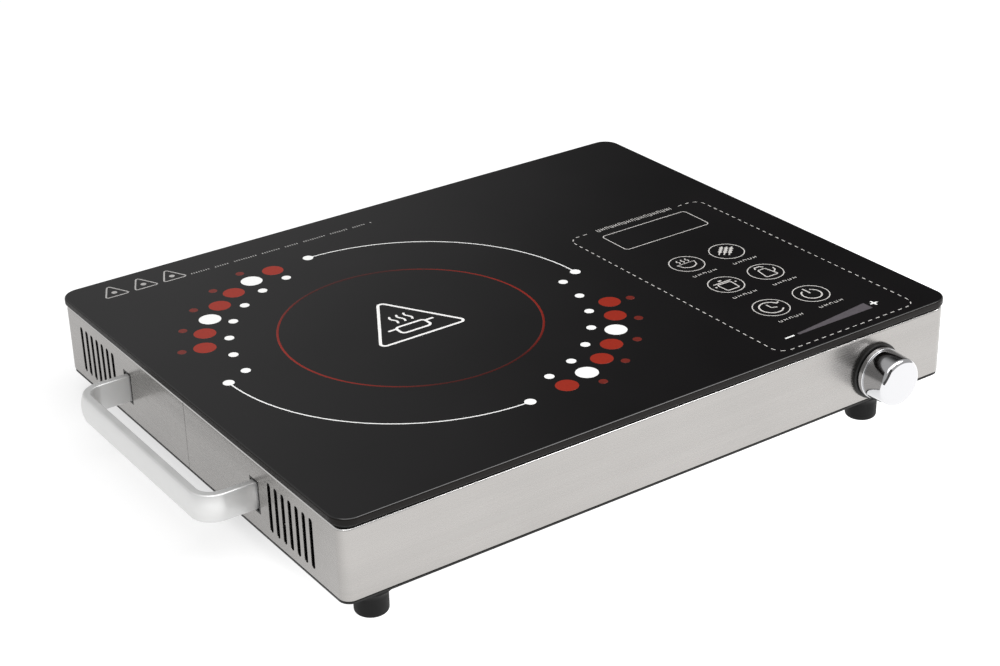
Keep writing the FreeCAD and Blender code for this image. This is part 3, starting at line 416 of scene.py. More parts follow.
# ------------------------------------------------------------------ finishes
class Recipe:
    """The node tree of one finish."""

    def __init__(self, name: str) -> None:
        """Start a finish with a bare shader.

        Args:
            name: Name of the finish.
        """
        self.material = bpy.data.materials.new(name)
        self.material.use_nodes = True
        self.nodes = self.material.node_tree.nodes
        self.links = self.material.node_tree.links
        self.shader = self.nodes["Principled BSDF"]

    def set(self, **sockets: object) -> None:
        """Set sockets of the shader; an underscore stands for a blank.

        Args:
            **sockets: Socket names and values.
        """
        for key, value in sockets.items():
            if isinstance(value, tuple) and len(value) == 3:
                value = (*value, 1.0)
            self.shader.inputs[key.replace("_", " ")].default_value = value

    def feed(self, socket: str, source: bpy.types.NodeSocket) -> None:
        """Drive one socket of the shader with a pattern.

        Args:
            socket: Name of the shader's socket.
            source: Output of the pattern.
        """
        self.links.new(source, self.shader.inputs[socket])

    def place(self, scale: Sequence[float] = (1.0, 1.0, 1.0),
              centre: Vector | None = None) -> bpy.types.NodeSocket:
        """Coordinates of the piece for a pattern.

        Args:
            scale: Stretch of the pattern along each axis.
            centre: Point of the piece that becomes the origin.

        Returns:
            The coordinates.
        """
        where = self.nodes.new("ShaderNodeTexCoord").outputs["Object"]
        if centre is not None:
            shift = self.nodes.new("ShaderNodeVectorMath")
            shift.operation = "SUBTRACT"
            shift.inputs[1].default_value = centre
            self.links.new(where, shift.inputs[0])
            where = shift.outputs[0]
        mapping = self.nodes.new("ShaderNodeMapping")
        mapping.inputs["Scale"].default_value = scale
        self.links.new(where, mapping.inputs["Vector"])
        return mapping.outputs["Vector"]

    def noise(self, where: bpy.types.NodeSocket, scale: float, detail: float = 3.0,
              roughness: float = 0.5) -> bpy.types.NodeSocket:
        """A cloudy pattern.

        Args:
            where: Coordinates.
            scale: Patches per metre.
            detail: Octaves of finer patches.
            roughness: Strength of the finer patches.

        Returns:
            A value from 0 to 1.
        """
        node = self.nodes.new("ShaderNodeTexNoise")
        node.inputs["Scale"].default_value = scale
        node.inputs["Detail"].default_value = detail
        node.inputs["Roughness"].default_value = roughness
        self.links.new(where, node.inputs["Vector"])
        return node.outputs["Fac"]

    def cells(self, where: bpy.types.NodeSocket, scale: float,
              output: str = "Distance") -> bpy.types.NodeSocket:
        """A pattern of grains.

        Args:
            where: Coordinates.
            scale: Grains per metre.
            output: Which output of the pattern.

        Returns:
            The output.
        """
        node = self.nodes.new("ShaderNodeTexVoronoi")
        node.inputs["Scale"].default_value = scale
        self.links.new(where, node.inputs["Vector"])
        return node.outputs[output]

    def remap(self, source: bpy.types.NodeSocket, low: float, high: float,
              start: float = 0.3, end: float = 0.7) -> bpy.types.NodeSocket:
        """Stretch a value to a range.

        Args:
            source: The value.
            low: Result at start.
            high: Result at end.
            start: Where the range starts.
            end: Where it ends.

        Returns:
            The stretched value.
        """
        node = self.nodes.new("ShaderNodeMapRange")
        node.inputs["From Min"].default_value = start
        node.inputs["From Max"].default_value = end
        node.inputs["To Min"].default_value = low
        node.inputs["To Max"].default_value = high
        self.links.new(source, node.inputs["Value"])
        return node.outputs["Result"]

    def sum(self, first: bpy.types.NodeSocket, second: bpy.types.NodeSocket,
            operation: str = "ADD") -> bpy.types.NodeSocket:
        """Join two values.

        Args:
            first: One value.
            second: The other value.
            operation: How they are joined.

        Returns:
            The result.
        """
        node = self.nodes.new("ShaderNodeMath")
        node.operation = operation
        self.links.new(first, node.inputs[0])
        self.links.new(second, node.inputs[1])
        return node.outputs[0]

    def blend(self, factor: bpy.types.NodeSocket, first: Colour,
              second: Colour) -> bpy.types.NodeSocket:
        """A colour between two colours.

        Args:
            factor: 0 gives the first and 1 the second.
            first: One colour.
            second: The other colour.

        Returns:
            The colour.
        """
        node = self.nodes.new("ShaderNodeMix")
        node.data_type = "RGBA"
        node.inputs[6].default_value = (*first, 1.0)
        node.inputs[7].default_value = (*second, 1.0)
        self.links.new(factor, node.inputs[0])
        return node.outputs[2]

    def bump(self, height: bpy.types.NodeSocket, depth: float,
             strength: float = 1.0) -> None:
        """Emboss the surface with a pattern.

        Args:
            height: The pattern.
            depth: How deep it goes, in metres.
            strength: Share of the effect.
        """
        node = self.nodes.new("ShaderNodeBump")
        node.inputs["Strength"].default_value = strength
        node.inputs["Distance"].default_value = depth
        self.links.new(height, node.inputs["Height"])
        self.feed("Normal", node.outputs["Normal"])


def shade(colour: Colour, share: float) -> Colour:
    """A lighter or darker version of a colour.

    Args:
        colour: The colour.
        share: Above 1 lightens and below 1 darkens.

    Returns:
        The new colour.
    """
    return tuple(min(1.0, part * share) for part in colour)


@dataclass(frozen=True)
class BrushedSteel:
    """Stainless sheet, brushed level along its length."""

    name: str
    colour: Colour
    roughness: float = 0.27
    streaks: float = 1300.0

    def make(self) -> bpy.types.Material:
        """Build the finish: fine level streaks over soft clouds.

        Returns:
            The finish.
        """
        recipe = Recipe(self.name)
        recipe.set(Metallic=1.0, Anisotropic=0.35)
        lines = recipe.noise(recipe.place((0.006, 0.006, 1.0)), self.streaks, 2.0, 0.6)
        broad = recipe.noise(recipe.place((0.02, 0.02, 1.0)), self.streaks / 14, 3.0)
        clouds = recipe.noise(recipe.place((1.0, 1.0, 1.6)), 22.0, 2.0)
        tone = recipe.sum(recipe.remap(lines, -0.3, 0.3), recipe.remap(broad, -0.3, 0.3))
        tone = recipe.sum(tone, recipe.remap(clouds, 0.25, 0.75))
        recipe.feed("Base Color", recipe.blend(tone, shade(self.colour, 0.955),
                                               shade(self.colour, 1.045)))
        recipe.feed("Roughness", recipe.remap(lines, self.roughness - 0.04,
                                              self.roughness + 0.05))
        recipe.bump(lines, 0.001 * MM, 0.3)
        return recipe.material


@dataclass(frozen=True)
class SatinMetal:
    """Metal with a fine blasted or tumbled surface."""

    name: str
    colour: Colour
    roughness: float = 0.4
    grain: float = 3000.0
    depth: float = 0.006 * MM
    metal: float = 1.0

    def make(self) -> bpy.types.Material:
        """Build the finish: a fine grain and faint handling marks.

        Returns:
            The finish.
        """
        recipe = Recipe(self.name)
        recipe.set(Metallic=self.metal)
        grain = recipe.noise(recipe.place(), self.grain, 3.0, 0.6)
        marks = recipe.noise(recipe.place(), 60.0, 3.0)
        recipe.feed("Base Color", recipe.blend(recipe.remap(marks, 0.0, 1.0),
                                               shade(self.colour, 0.96), self.colour))
        recipe.feed("Roughness", recipe.remap(marks, self.roughness - 0.03,
                                              self.roughness + 0.05))
        recipe.bump(grain, self.depth, 0.6)
        return recipe.material


@dataclass(frozen=True)
class Chrome:
    """Bright plating, polished."""

    name: str
    colour: Colour
    roughness: float = 0.045

    def make(self) -> bpy.types.Material:
        """Build the finish: a mirror with faint wipe marks.

        Returns:
            The finish.
        """
        recipe = Recipe(self.name)
        recipe.set(Metallic=1.0, Base_Color=self.colour)
        wipes = recipe.noise(recipe.place((1.0, 1.0, 0.3)), 180.0, 4.0, 0.65)
        recipe.feed("Roughness", recipe.remap(wipes, self.roughness - 0.02,
                                              self.roughness + 0.04))
        recipe.bump(wipes, 0.001 * MM, 0.3)
        return recipe.material


@dataclass(frozen=True)
class BlackGlass:
    """Glass-ceramic, black through its thickness, polished on top."""

    name: str
    colour: Colour
    roughness: float = 0.09

    def make(self) -> bpy.types.Material:
        """Build the finish: deep black with a trace of haze and wiping.

        Returns:
            The finish.
        """
        recipe = Recipe(self.name)
        recipe.set(IOR=1.52, Specular_IOR_Level=0.5)
        haze = recipe.noise(recipe.place(), 9.0, 2.0)
        wipes = recipe.noise(recipe.place((1.0, 0.35, 1.0)), 55.0, 4.0, 0.6)
        recipe.feed("Base Color", recipe.blend(recipe.remap(haze, 0.0, 1.0),
                                               self.colour, shade(self.colour, 1.7)))
        recipe.feed("Roughness", recipe.remap(wipes, self.roughness - 0.015,
                                              self.roughness + 0.025))
        return recipe.material


@dataclass(frozen=True)
class GroundEdge:
    """The ground edge of the glass, dull where the face is bright."""

    name: str
    colour: Colour

    def make(self) -> bpy.types.Material:
        """Build the finish: a fine even grind with hardly any gloss.

        Returns:
            The finish.
        """
        recipe = Recipe(self.name)
        recipe.set(IOR=1.5, Specular_IOR_Level=0.12)
        grind = recipe.noise(recipe.place(), 1200.0, 3.0)
        recipe.feed("Base Color", recipe.blend(grind, self.colour, shade(self.colour, 2.0)))
        recipe.feed("Roughness", recipe.remap(grind, 0.35, 0.5))
        recipe.bump(grind, 0.004 * MM, 0.5)
        return recipe.material


@dataclass(frozen=True)
class FiredInk:
    """Enamel fired into the glass, as smooth as the glass."""

    name: str
    colour: Colour
    mottle: float = 0.12
    fade_centre: Vector | None = None
    fade_reach: float = 0.07
    fade_low: float = 1.0

    def make(self) -> bpy.types.Material:
        """Build the finish: a faintly mottled tone; a long line may fade towards Y.

        Returns:
            The finish.
        """
        recipe = Recipe(self.name)
        recipe.set(IOR=1.5, Roughness=0.18)
        mottle = recipe.noise(recipe.place(), 900.0, 3.0, 0.6)
        amount = recipe.remap(mottle, 0.0, 1.0)
        weak = shade(self.colour, 1.0 - self.mottle)
        if self.fade_centre is not None:
            spread = recipe.place((1.0, 0.0, 0.0), self.fade_centre)
            length = recipe.nodes.new("ShaderNodeVectorMath")
            length.operation = "LENGTH"
            recipe.links.new(spread, length.inputs[0])
            amount = recipe.remap(length.outputs["Value"], 0.0, 1.0,
                                  self.fade_reach * 0.35, self.fade_reach)
            weak = shade(self.colour, self.fade_low)
        recipe.feed("Base Color", recipe.blend(amount, weak, self.colour))
        return recipe.material


@dataclass(frozen=True)
class MouldedPlastic:
    """Injection-moulded plastic with a spark-eroded grain."""

    name: str
    colour: Colour
    roughness: float = 0.5
    grain: float = 1800.0
    depth: float = 0.012 * MM
    gloss: float = 0.5

    def make(self) -> bpy.types.Material:
        """Build the finish: a grain in the relief and patchy gloss.

        Returns:
            The finish.
        """
        recipe = Recipe(self.name)
        recipe.set(IOR=1.49, Specular_IOR_Level=self.gloss)
        grain = recipe.noise(recipe.place(), self.grain, 2.0, 0.6)
        patches = recipe.noise(recipe.place(), 40.0, 3.0)
        recipe.feed("Base Color", recipe.blend(recipe.remap(patches, 0.0, 1.0),
                                               shade(self.colour, 0.88),
                                               shade(self.colour, 1.12)))
        recipe.feed("Roughness", recipe.remap(patches, self.roughness - 0.06,
                                              self.roughness + 0.08))
        recipe.bump(grain, self.depth, 0.7)
        return recipe.material


@dataclass(frozen=True)
class Rubber:
    """Matt rubber with bloom and a trace of dust."""

    name: str
    colour: Colour
    bloom: float = 2.2

    def make(self) -> bpy.types.Material:
        """Build the finish: matt, with pale bloom in patches.

        Returns:
            The finish.
        """
        recipe = Recipe(self.name)
        recipe.set(IOR=1.5, Specular_IOR_Level=0.18)
        bloom = recipe.noise(recipe.place(), 240.0, 4.0, 0.65)
        recipe.feed("Base Color", recipe.blend(recipe.remap(bloom, 0.0, 1.0, 0.45, 0.75),
                                               self.colour, shade(self.colour, self.bloom)))
        recipe.feed("Roughness", recipe.remap(bloom, 0.55, 0.72))
        recipe.bump(recipe.noise(recipe.place(), 1500.0, 2.0), 0.02 * MM, 0.6)
        return recipe.material


@dataclass(frozen=True)
class LacqueredBoard:
    """A circuit board: lacquer over copper tracks and pads."""

    name: str
    colour: Colour
    track: Colour
    pitch: float = 190.0

    def make(self) -> bpy.types.Material:
        """Build the finish: square-cornered tracks that show through the lacquer.

        Returns:
            The finish.
        """
        recipe = Recipe(self.name)
        recipe.set(IOR=1.5, Coat_Weight=0.4, Coat_Roughness=0.12)
        node = recipe.nodes.new("ShaderNodeTexBrick")
        node.inputs["Scale"].default_value = self.pitch
        node.inputs["Mortar Size"].default_value = 0.05
        node.inputs["Color1"].default_value = (*self.colour, 1.0)
        node.inputs["Color2"].default_value = (*shade(self.colour, 0.7), 1.0)
        node.inputs["Mortar"].default_value = (*self.track, 1.0)
        recipe.links.new(recipe.place(), node.inputs["Vector"])
        recipe.feed("Base Color", node.outputs["Color"])
        recipe.feed("Roughness", recipe.remap(recipe.noise(recipe.place(), 300.0), 0.32, 0.45))
        recipe.bump(node.outputs["Fac"], 0.03 * MM, 0.5)
        return recipe.material


@dataclass(frozen=True)
class StrandedCopper:
    """Enamelled copper strands, laid round a centre."""

    name: str
    colour: Colour
    strands: float = 1500.0

    def make(self) -> bpy.types.Material:
        """Build the finish: fine twisted strands with darker gaps.

        Returns:
            The finish.
        """
        recipe = Recipe(self.name)
        recipe.set(Metallic=0.85, Coat_Weight=0.5, Coat_Roughness=0.2)
        strands = recipe.noise(recipe.place((1.0, 1.0, 0.4)), self.strands, 2.0, 0.7)
        age = recipe.noise(recipe.place(), 35.0, 3.0)
        recipe.feed("Base Color", recipe.blend(recipe.remap(strands, 0.0, 1.0),
                                               shade(self.colour, 0.55), self.colour))
        recipe.feed("Roughness", recipe.remap(age, 0.28, 0.42))
        recipe.bump(strands, 0.08 * MM, 0.8)
        return recipe.material


@dataclass(frozen=True)
class PressedPowder:
    """Ferrite, ceramic or another pressed and fired powder."""

    name: str
    colour: Colour
    roughness: float = 0.7

    def make(self) -> bpy.types.Material:
        """Build the finish: speckled grains and dull pits.

        Returns:
            The finish.
        """
        recipe = Recipe(self.name)
        recipe.set(IOR=1.6)
        grains = recipe.cells(recipe.place(), 1600.0)
        recipe.feed("Base Color", recipe.blend(recipe.remap(grains, 0.0, 1.0, 0.0, 0.8),
                                               shade(self.colour, 0.8),
                                               shade(self.colour, 1.25)))
        recipe.feed("Roughness", recipe.remap(recipe.noise(recipe.place(), 90.0),
                                              self.roughness - 0.08, self.roughness + 0.08))
        recipe.bump(grains, 0.02 * MM, 0.5)
        return recipe.material


@dataclass(frozen=True)
class MicaSheet:
    """Pressed mica flakes."""

    name: str
    colour: Colour

    def make(self) -> bpy.types.Material:
        """Build the finish: flat flakes, each a little different.

        Returns:
            The finish.
        """
        recipe = Recipe(self.name)
        recipe.set(IOR=1.58, Roughness=0.38, Coat_Weight=0.2)
        flakes = recipe.cells(recipe.place((1.0, 1.0, 0.2)), 260.0, "Color")
        split = recipe.nodes.new("ShaderNodeSeparateColor")
        recipe.links.new(flakes, split.inputs[0])
        recipe.feed("Base Color", recipe.blend(split.outputs[0], shade(self.colour, 0.8),
                                               shade(self.colour, 1.15)))
        recipe.bump(split.outputs[1], 0.03 * MM, 0.4)
        return recipe.material


class Ink(Enum):
    """The enamels fired into the glass."""

    WHITE = FiredInk("white_enamel", (0.86, 0.86, 0.85), 0.04)
    SOFT_WHITE = FiredInk("soft_white_enamel", (0.60, 0.58, 0.56), 0.15)
    PALE = FiredInk("pale_enamel", (0.42, 0.41, 0.40), 0.2)
    RED = FiredInk("red_enamel", (0.28, 0.020, 0.009), 0.1)
    DIM_RED = FiredInk("dim_red_enamel", (0.16, 0.018, 0.012), 0.3)
    GREY = FiredInk("grey_enamel", (0.10, 0.09, 0.10), 0.2)


SLOT_FINISHES = {
    "black_glass": BlackGlass("black_glass", (0.0035, 0.0032, 0.0034)),
    "steel_band": BrushedSteel("brushed_steel", (0.310, 0.300, 0.290)),
    "satin_aluminium": SatinMetal("satin_aluminium", (0.68, 0.68, 0.675), 0.38, metal=0.6),
    "machined_aluminium": SatinMetal("machined_aluminium", (0.78, 0.78, 0.79), 0.3, 1400.0),
    "label_aluminium": SatinMetal("label_foil", (0.72, 0.73, 0.74), 0.45, 900.0),
    "chrome": Chrome("bright_chrome", (0.50, 0.50, 0.51), 0.09),
    "index_ink": MouldedPlastic("index_filling", (0.012, 0.012, 0.012), 0.35),
    "black_plastic": MouldedPlastic("black_plastic", (0.006, 0.0058, 0.0056), 0.42,
                                    gloss=0.25),
    "grey_plastic": MouldedPlastic("grey_plastic", (0.11, 0.11, 0.12)),
    "black_rubber": Rubber("black_rubber", (0.005, 0.005, 0.005), 1.7),
    "silicone": Rubber("pale_silicone", (0.62, 0.6, 0.55), 1.1),
    "zinc_steel": SatinMetal("zinc_plate", (0.66, 0.66, 0.62), 0.3, 1200.0, 0.01 * MM),
    "copper": StrandedCopper("stranded_copper", (0.62, 0.24, 0.1)),
    "ferrite": PressedPowder("ferrite", (0.035, 0.035, 0.038), 0.6),
    "mica": MicaSheet("mica", (0.5, 0.42, 0.3)),
    "white_ceramic": PressedPowder("white_ceramic", (0.74, 0.72, 0.68), 0.35),
    "circuit_board": LacqueredBoard("green_board", (0.012, 0.09, 0.035), (0.03, 0.17, 0.07)),
    "dark_component": MouldedPlastic("dark_component", (0.02, 0.02, 0.022), 0.45, 900.0),
    "capacitor_case": MouldedPlastic("capacitor_case", (0.05, 0.07, 0.24), 0.3, 500.0),
    "white_nylon": MouldedPlastic("white_nylon", (0.7, 0.68, 0.62), 0.45),
    "tin_contacts": SatinMetal("tinned_contacts", (0.74, 0.74, 0.71), 0.25, 700.0),
    "led_segments": MouldedPlastic("segment_lens", (0.3, 0.03, 0.02), 0.3, 300.0),
}
_made: dict[str, bpy.types.Material] = {}


def finish_of(recipe: object) -> bpy.types.Material:
    """The material of a finish, built the first time it is asked for.

    Args:
        recipe: A finish with a name and a make method.

    Returns:
        The material.
    """
    if recipe.name not in _made:
        _made[recipe.name] = recipe.make()
    return _made[recipe.name]


def hand_over(piece: Piece, body: str, slot: str, recipe: object, *nodes: str) -> Piece:
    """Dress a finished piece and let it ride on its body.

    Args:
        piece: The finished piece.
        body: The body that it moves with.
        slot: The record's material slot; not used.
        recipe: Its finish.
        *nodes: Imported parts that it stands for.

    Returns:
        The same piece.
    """
    piece.data.materials.clear()
    piece.data.materials.append(finish_of(recipe))
    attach(piece, body)
    if nodes:
        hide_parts(*nodes)
    LOG.info("made %s (%d faces) on %s", piece.name, len(piece.data.polygons), body)
    return piece


def slot_of(node: str) -> str:
    """The record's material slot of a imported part."""
    return next(part["material_slot"] for part in frame["record"]["subparts"]
                if part["node"] == node)


def dress_nodes(*nodes: str) -> None:
    """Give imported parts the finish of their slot.

    Args:
        *nodes: Names of the parts.
    """
    for node in nodes:
        mesh = frame["nodes"][node].data
        mesh.materials.clear()
        mesh.materials.append(finish_of(SLOT_FINISHES[slot_of(node)]))
        LOG.info("dressed %s", node)


# ------------------------------------------------------------------ printing on the glass
@dataclass
class Press:
    """Prints thin marks on the glass; every mark is a little raised enamel."""

    thickness: float = 0.04 * MM
    dot_sides: int = 40
    marks: list[Piece] = field(default_factory=list)

    @property
    def surface(self) -> float:
        """Height of the glass's polished face."""
        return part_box("glass_top")[1].z - self.thickness

    def dot(self, middle: Vector, radius: float, share: float = 1.0) -> None:
        """Print a filled dot.

        Args:
            middle: Middle of the dot, in the plane of the glass.
            radius: Its radius.
            share: Its height, as a share of the enamel's thickness.
        """
        top = self.surface + self.thickness * share
        low = Vector((middle.x, middle.y, self.surface - self.thickness))
        piece = start_rod("dot", radius, low, Vector((middle.x, middle.y, top)),
                          self.dot_sides)
        bevel_edges(piece, at_level(top), self.thickness * 0.5, 1)
        self.marks.append(piece)

    def line(self, points: Sequence[Vector], width: float, closed: bool = False,
             share: float = 1.0) -> None:
        """Print a line with round ends, from a flattened tube.

        Args:
            points: Corners of the line.
            width: Its width.
            closed: True to join its ends.
            share: Its height, as a share of the enamel's thickness.
        """
        curve = bpy.data.curves.new("line", "CURVE")
        curve.dimensions = "3D"
        curve.bevel_depth = width / 2
        curve.bevel_resolution = 2
        curve.use_fill_caps = True
        spline = curve.splines.new("POLY")
        spline.points.add(len(points) - 1)
        for knot, point in zip(spline.points, points):
            knot.co = (point.x, point.y, 0.0, 1.0)
        spline.use_cyclic_u = closed
        piece = bpy.data.objects.new("line", curve)
        bpy.context.scene.collection.objects.link(piece)
        pick(piece)
        bpy.ops.object.convert(target="MESH")
        piece = bpy.context.active_object
        piece.scale.z = self.thickness * share / (width / 2)
        piece.location.z = self.surface
        self.marks.append(settle(piece, "line"))

    def area(self, points: Sequence[Vector], share: float = 1.0) -> None:
        """Print a filled area.

        Args:
            points: Corners of its outline.
            share: Its height, as a share of the enamel's thickness.
        """
        low = self.surface - self.thickness
        piece = start_line("area", [Vector((p.x, p.y, low)) for p in points], closed=True)
        with editing(piece, Elements.EDGES):
            bpy.ops.mesh.select_all(action="SELECT")
            bpy.ops.mesh.edge_face_add()
            bpy.ops.mesh.extrude_region_move(
                TRANSFORM_OT_translate={"value": (0, 0, self.thickness * (1 + share))})
            tidy_shell()
        self.marks.append(piece)

    def finish(self, name: str, ink: object) -> Piece:
        """Join the marks printed since the last call and hand them over.

        Args:
            name: Name of the print.
            ink: Its enamel.

        Returns:
            The print.
        """
        piece = join(name, self.marks)
        self.marks = []
        smooth(piece, 40.0)
        return hand_over(piece, "housing", "black_glass", ink)


def arc(centre: Vector, radius: float, start: float, end: float,
        steps: int) -> list[Vector]:
    """Points along an arc seen from above.

    Args:
        centre: Its centre.
        radius: Its radius.
        start: First angle in degrees.
        end: Last angle in degrees.
        steps: Number of facets.

    Returns:
        The points, both ends included.
    """
    return [centre + Vector((radius * math.cos(a), radius * math.sin(a), 0.0))
            for a in (math.radians(start + (end - start) * i / steps)
                      for i in range(steps + 1))]


def rounded_polygon(corners: Sequence[Vector], radius: float,
                    steps: int = 5) -> list[Vector]:
    """An outline with every corner rounded.

    Args:
        corners: The sharp corners, in order.
        radius: Radius of the rounding.
        steps: Facets across each rounding.

    Returns:
        The points of the outline.
    """
    outline = []
    for i, corner in enumerate(corners):
        to_last = (corners[i - 1] - corner).normalized()
        to_next = (corners[(i + 1) % len(corners)] - corner).normalized()
        half = to_last.angle(to_next) / 2
        centre = corner + (to_last + to_next).normalized() * (radius / math.sin(half))
        start = corner + to_last * (radius / math.tan(half)) - centre
        end = corner + to_next * (radius / math.tan(half)) - centre
        for step in range(steps + 1):
            outline.append(centre + start.slerp(end, step / steps).normalized() * radius)
    return outline


def walk(outline: Sequence[Vector], pitch: float, length: float) -> list[list[Vector]]:
    """Short stretches at even steps along a closed outline, for a dashed line.

    Args:
        outline: Points of the closed outline.
        pitch: Distance from dash to dash.
        length: Length of each dash.

    Returns:
        The dashes, each as two points.
    """
    loop = list(outline) + [outline[0]]
    total = sum((b - a).length for a, b in pairwise(loop))
    count = round(total / pitch)

    def at(distance: float) -> Vector:
        """The point at a distance along the outline.

        Args:
            distance: The distance, which may go past the outline's end.

        Returns:
            The point.
        """
        left = distance % total
        for a, b in pairwise(loop):
            run = (b - a).length
            if left <= run:
                return a.lerp(b, left / max(run, TINY))
            left -= run
        return loop[-1].copy()

    return [[at(i * total / count), at(i * total / count + length)] for i in range(count)]


# ------------------------------------------------------------------ the glass and its print
@dataclass
class GlassTop:
    """The black glass plate."""

    corner: float = 10.0 * MM
    edge_round: float = 1.0 * MM
    corner_steps: int = 16
    top_facets: int = 5
    bottom_share: float = 0.6
    bottom_facets: int = 3
    edge_tilt: float = 0.6
    edge: GroundEdge = field(default_factory=lambda: GroundEdge(
        "ground_glass_edge", (0.0035, 0.0026, 0.0022)))

    def build(self) -> None:
        """Shape the plate: a slab with round corners and polished edges."""
        low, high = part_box("glass_top")
        top = high.z - Press.thickness
        plate = start_box("glass_plate", low, Vector((high.x, high.y, top)))
        bevel_edges(plate, is_upright, self.corner, self.corner_steps)
        bevel_edges(plate, at_level(top), self.edge_round, self.top_facets)
        bevel_edges(plate, at_level(low.z), self.edge_round * self.bottom_share,
                    self.bottom_facets)
        smooth(plate, 30.0)
        hand_over(plate, "housing", "black_glass", SLOT_FINISHES["black_glass"], "glass_top")
        plate.data.materials.append(finish_of(self.edge))
        with editing(plate, Elements.FACES):
            select_faces(plate, lambda middle, normal: normal.z < self.edge_tilt)
            plate.active_material_index = 1
            bpy.ops.object.material_slot_assign()


@dataclass
class Layout:
    """Places on the glass, from the band's front left corner, in millimetres."""

    corner: Vector = field(default_factory=lambda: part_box("side_band")[0])

    def at(self, x: float, y: float) -> Vector:
        """A place on the glass."""
        return self.corner + Vector((x, y, 0.0)) * MM

    def run(self, *places: Point) -> list[Vector]:
        """Several places on the glass."""
        return [self.at(x, y) for x, y in places]


@dataclass(frozen=True)
class DotRow:
    """One row of even dots round the cooking zone, in millimetres and degrees."""

    inks: tuple[Ink, ...]
    dot: float
    radius: float
    start: float
    pitch: float
    count: int


@dataclass
class ZonePrint:
    """The cooking zone: rows of dots, two arcs and the heat ring."""

    centre: Vector = field(default_factory=lambda: middle_of("insulation_sheet"))
    rows: tuple[DotRow, ...] = (
        DotRow((Ink.RED, Ink.WHITE, Ink.RED), 6.0, 108.0, 103.0, 9.0, 7),
        DotRow((Ink.WHITE,), 2.6, 95.0, 104.0, 12.0, 7),
        DotRow((Ink.DIM_RED,), 2.4, 120.0, 110.0, 12.0, 5))
    arc_radius: float = 108.0
    arc_starts: tuple[float, ...] = (0.0, 180.0)
    arc_turn: float = 90.0
    arc_width: float = 0.8
    arc_end: float = 3.0
    ring_radius: float = 70.0
    ring_width: float = 1.2

    def build(self, press: Press) -> None:
        """Print the whole zone.

        Args:
            press: The press to print with.
        """
        self._print_dots(press)
        self._print_arcs(press)
        self._print_ring(press)

    def _print_dots(self, press: Press) -> None:
        """Print the rows of dots at the rear left, and again half a turn round.

        Args:
            press: The press to print with.
        """
        for ink in (Ink.WHITE, Ink.RED, Ink.DIM_RED):
            for row in self.rows:
                for i in range(row.count):
                    if row.inks[i % len(row.inks)] is not ink:
                        continue
                    for half_turn in (0.0, math.pi):
                        angle = math.radians(row.start + row.pitch * i) + half_turn
                        reach = Vector((math.cos(angle), math.sin(angle), 0.0))
                        press.dot(self.centre + reach * row.radius * MM, row.dot * MM)
            press.finish(f"zone_dots_{ink.name.lower()}", ink.value)

    def _print_arcs(self, press: Press) -> None:
        """Print the two white arcs, with a dot at each end.

        Args:
            press: The press to print with.
        """
        for start in self.arc_starts:
            points = arc(self.centre, self.arc_radius * MM, start, start + self.arc_turn, 72)
            press.line(points, self.arc_width * MM, share=0.8)
            for end in (points[0], points[-1]):
                press.dot(end, self.arc_end * MM)
        press.finish("zone_arcs", Ink.WHITE.value)

    def _print_ring(self, press: Press) -> None:
        """Print the red heat ring, faint at the front and the back.

        Args:
            press: The press to print with.
        """
        press.line(arc(self.centre, self.ring_radius * MM, 0.0, 357.5, 143),
                   self.ring_width * MM, closed=True, share=0.8)
        press.finish("heat_ring", FiredInk("heat_ring_enamel", (0.20, 0.012, 0.006),
                                           fade_centre=self.centre,
                                           fade_reach=self.ring_radius * MM,
                                           fade_low=0.25))


@dataclass
class PanSign:
    """A plain cooking sign at the zone's centre: a steaming pan in a triangle."""

    centre: Vector = field(default_factory=lambda: middle_of("insulation_sheet"))
    side: float = 54.0
    lift: float = 2.0
    corner: float = 2.4
    border: float = 1.6
    line: float = 1.5
    pan_foot: float = 7.0
    pan_half: float = 9.0
    pan_height: float = 8.0
    handle: float = 5.0
    steam_gap: float = 4.0
    steam_height: float = 9.0
    steam_pitch: float = 4.5
    steam_swing: float = 0.9

    def around(self, x: float, y: float) -> Vector:
        """A place beside the zone's centre, in millimetres."""
        return self.centre + Vector((x, y, 0.0)) * MM

    def build(self, press: Press) -> None:
        """Print the even-sided triangle, the pan and its steam.

        Args:
            press: The press to print with.
        """
        rise = self.side * math.sqrt(3.0) / 2
        base = self.lift - rise / 3
        half = self.side / 2
        corners = [self.around(-half, base), self.around(half, base),
                   self.around(0.0, base + rise)]
        press.line(rounded_polygon(corners, self.corner * MM), self.border * MM, closed=True,
                   share=0.9)
        foot = base + self.pan_foot
        self._pan(press, foot)
        self._steam(press, foot + self.pan_height + self.steam_gap)
        press.finish("pan_sign", FiredInk("pan_sign_enamel", (0.86, 0.85, 0.84), 0.08))

    def _pan(self, press: Press, foot: float) -> None:
        """Print the pan from the side, with a handle at each side.

        Args:
            press: The press to print with.
            foot: Where the pan stands.
        """
        rim = foot + self.pan_height
        corners = [self.around(-self.pan_half, foot), self.around(self.pan_half, foot),
                   self.around(self.pan_half, rim), self.around(-self.pan_half, rim)]
        press.line(rounded_polygon(corners, self.corner * MM), self.line * MM, closed=True,
                   share=0.8)
        for side in (-1.0, 1.0):
            press.line([self.around(side * self.pan_half, rim - self.line),
                        self.around(side * (self.pan_half + self.handle), rim - self.line)],
                       self.line * MM, share=0.7)

    def _steam(self, press: Press, low: float) -> None:
        """Print three waves of steam over the pan.

        Args:
            press: The press to print with.
            low: Where the waves start.
        """
        steps = 12
        for across in (-self.steam_pitch, 0.0, self.steam_pitch):
            wave = [self.around(across + self.steam_swing * math.sin(math.tau * i / steps),
                                low + self.steam_height * i / steps)
                    for i in range(steps + 1)]
            press.line(wave, self.line * 0.8 * MM, share=0.6)


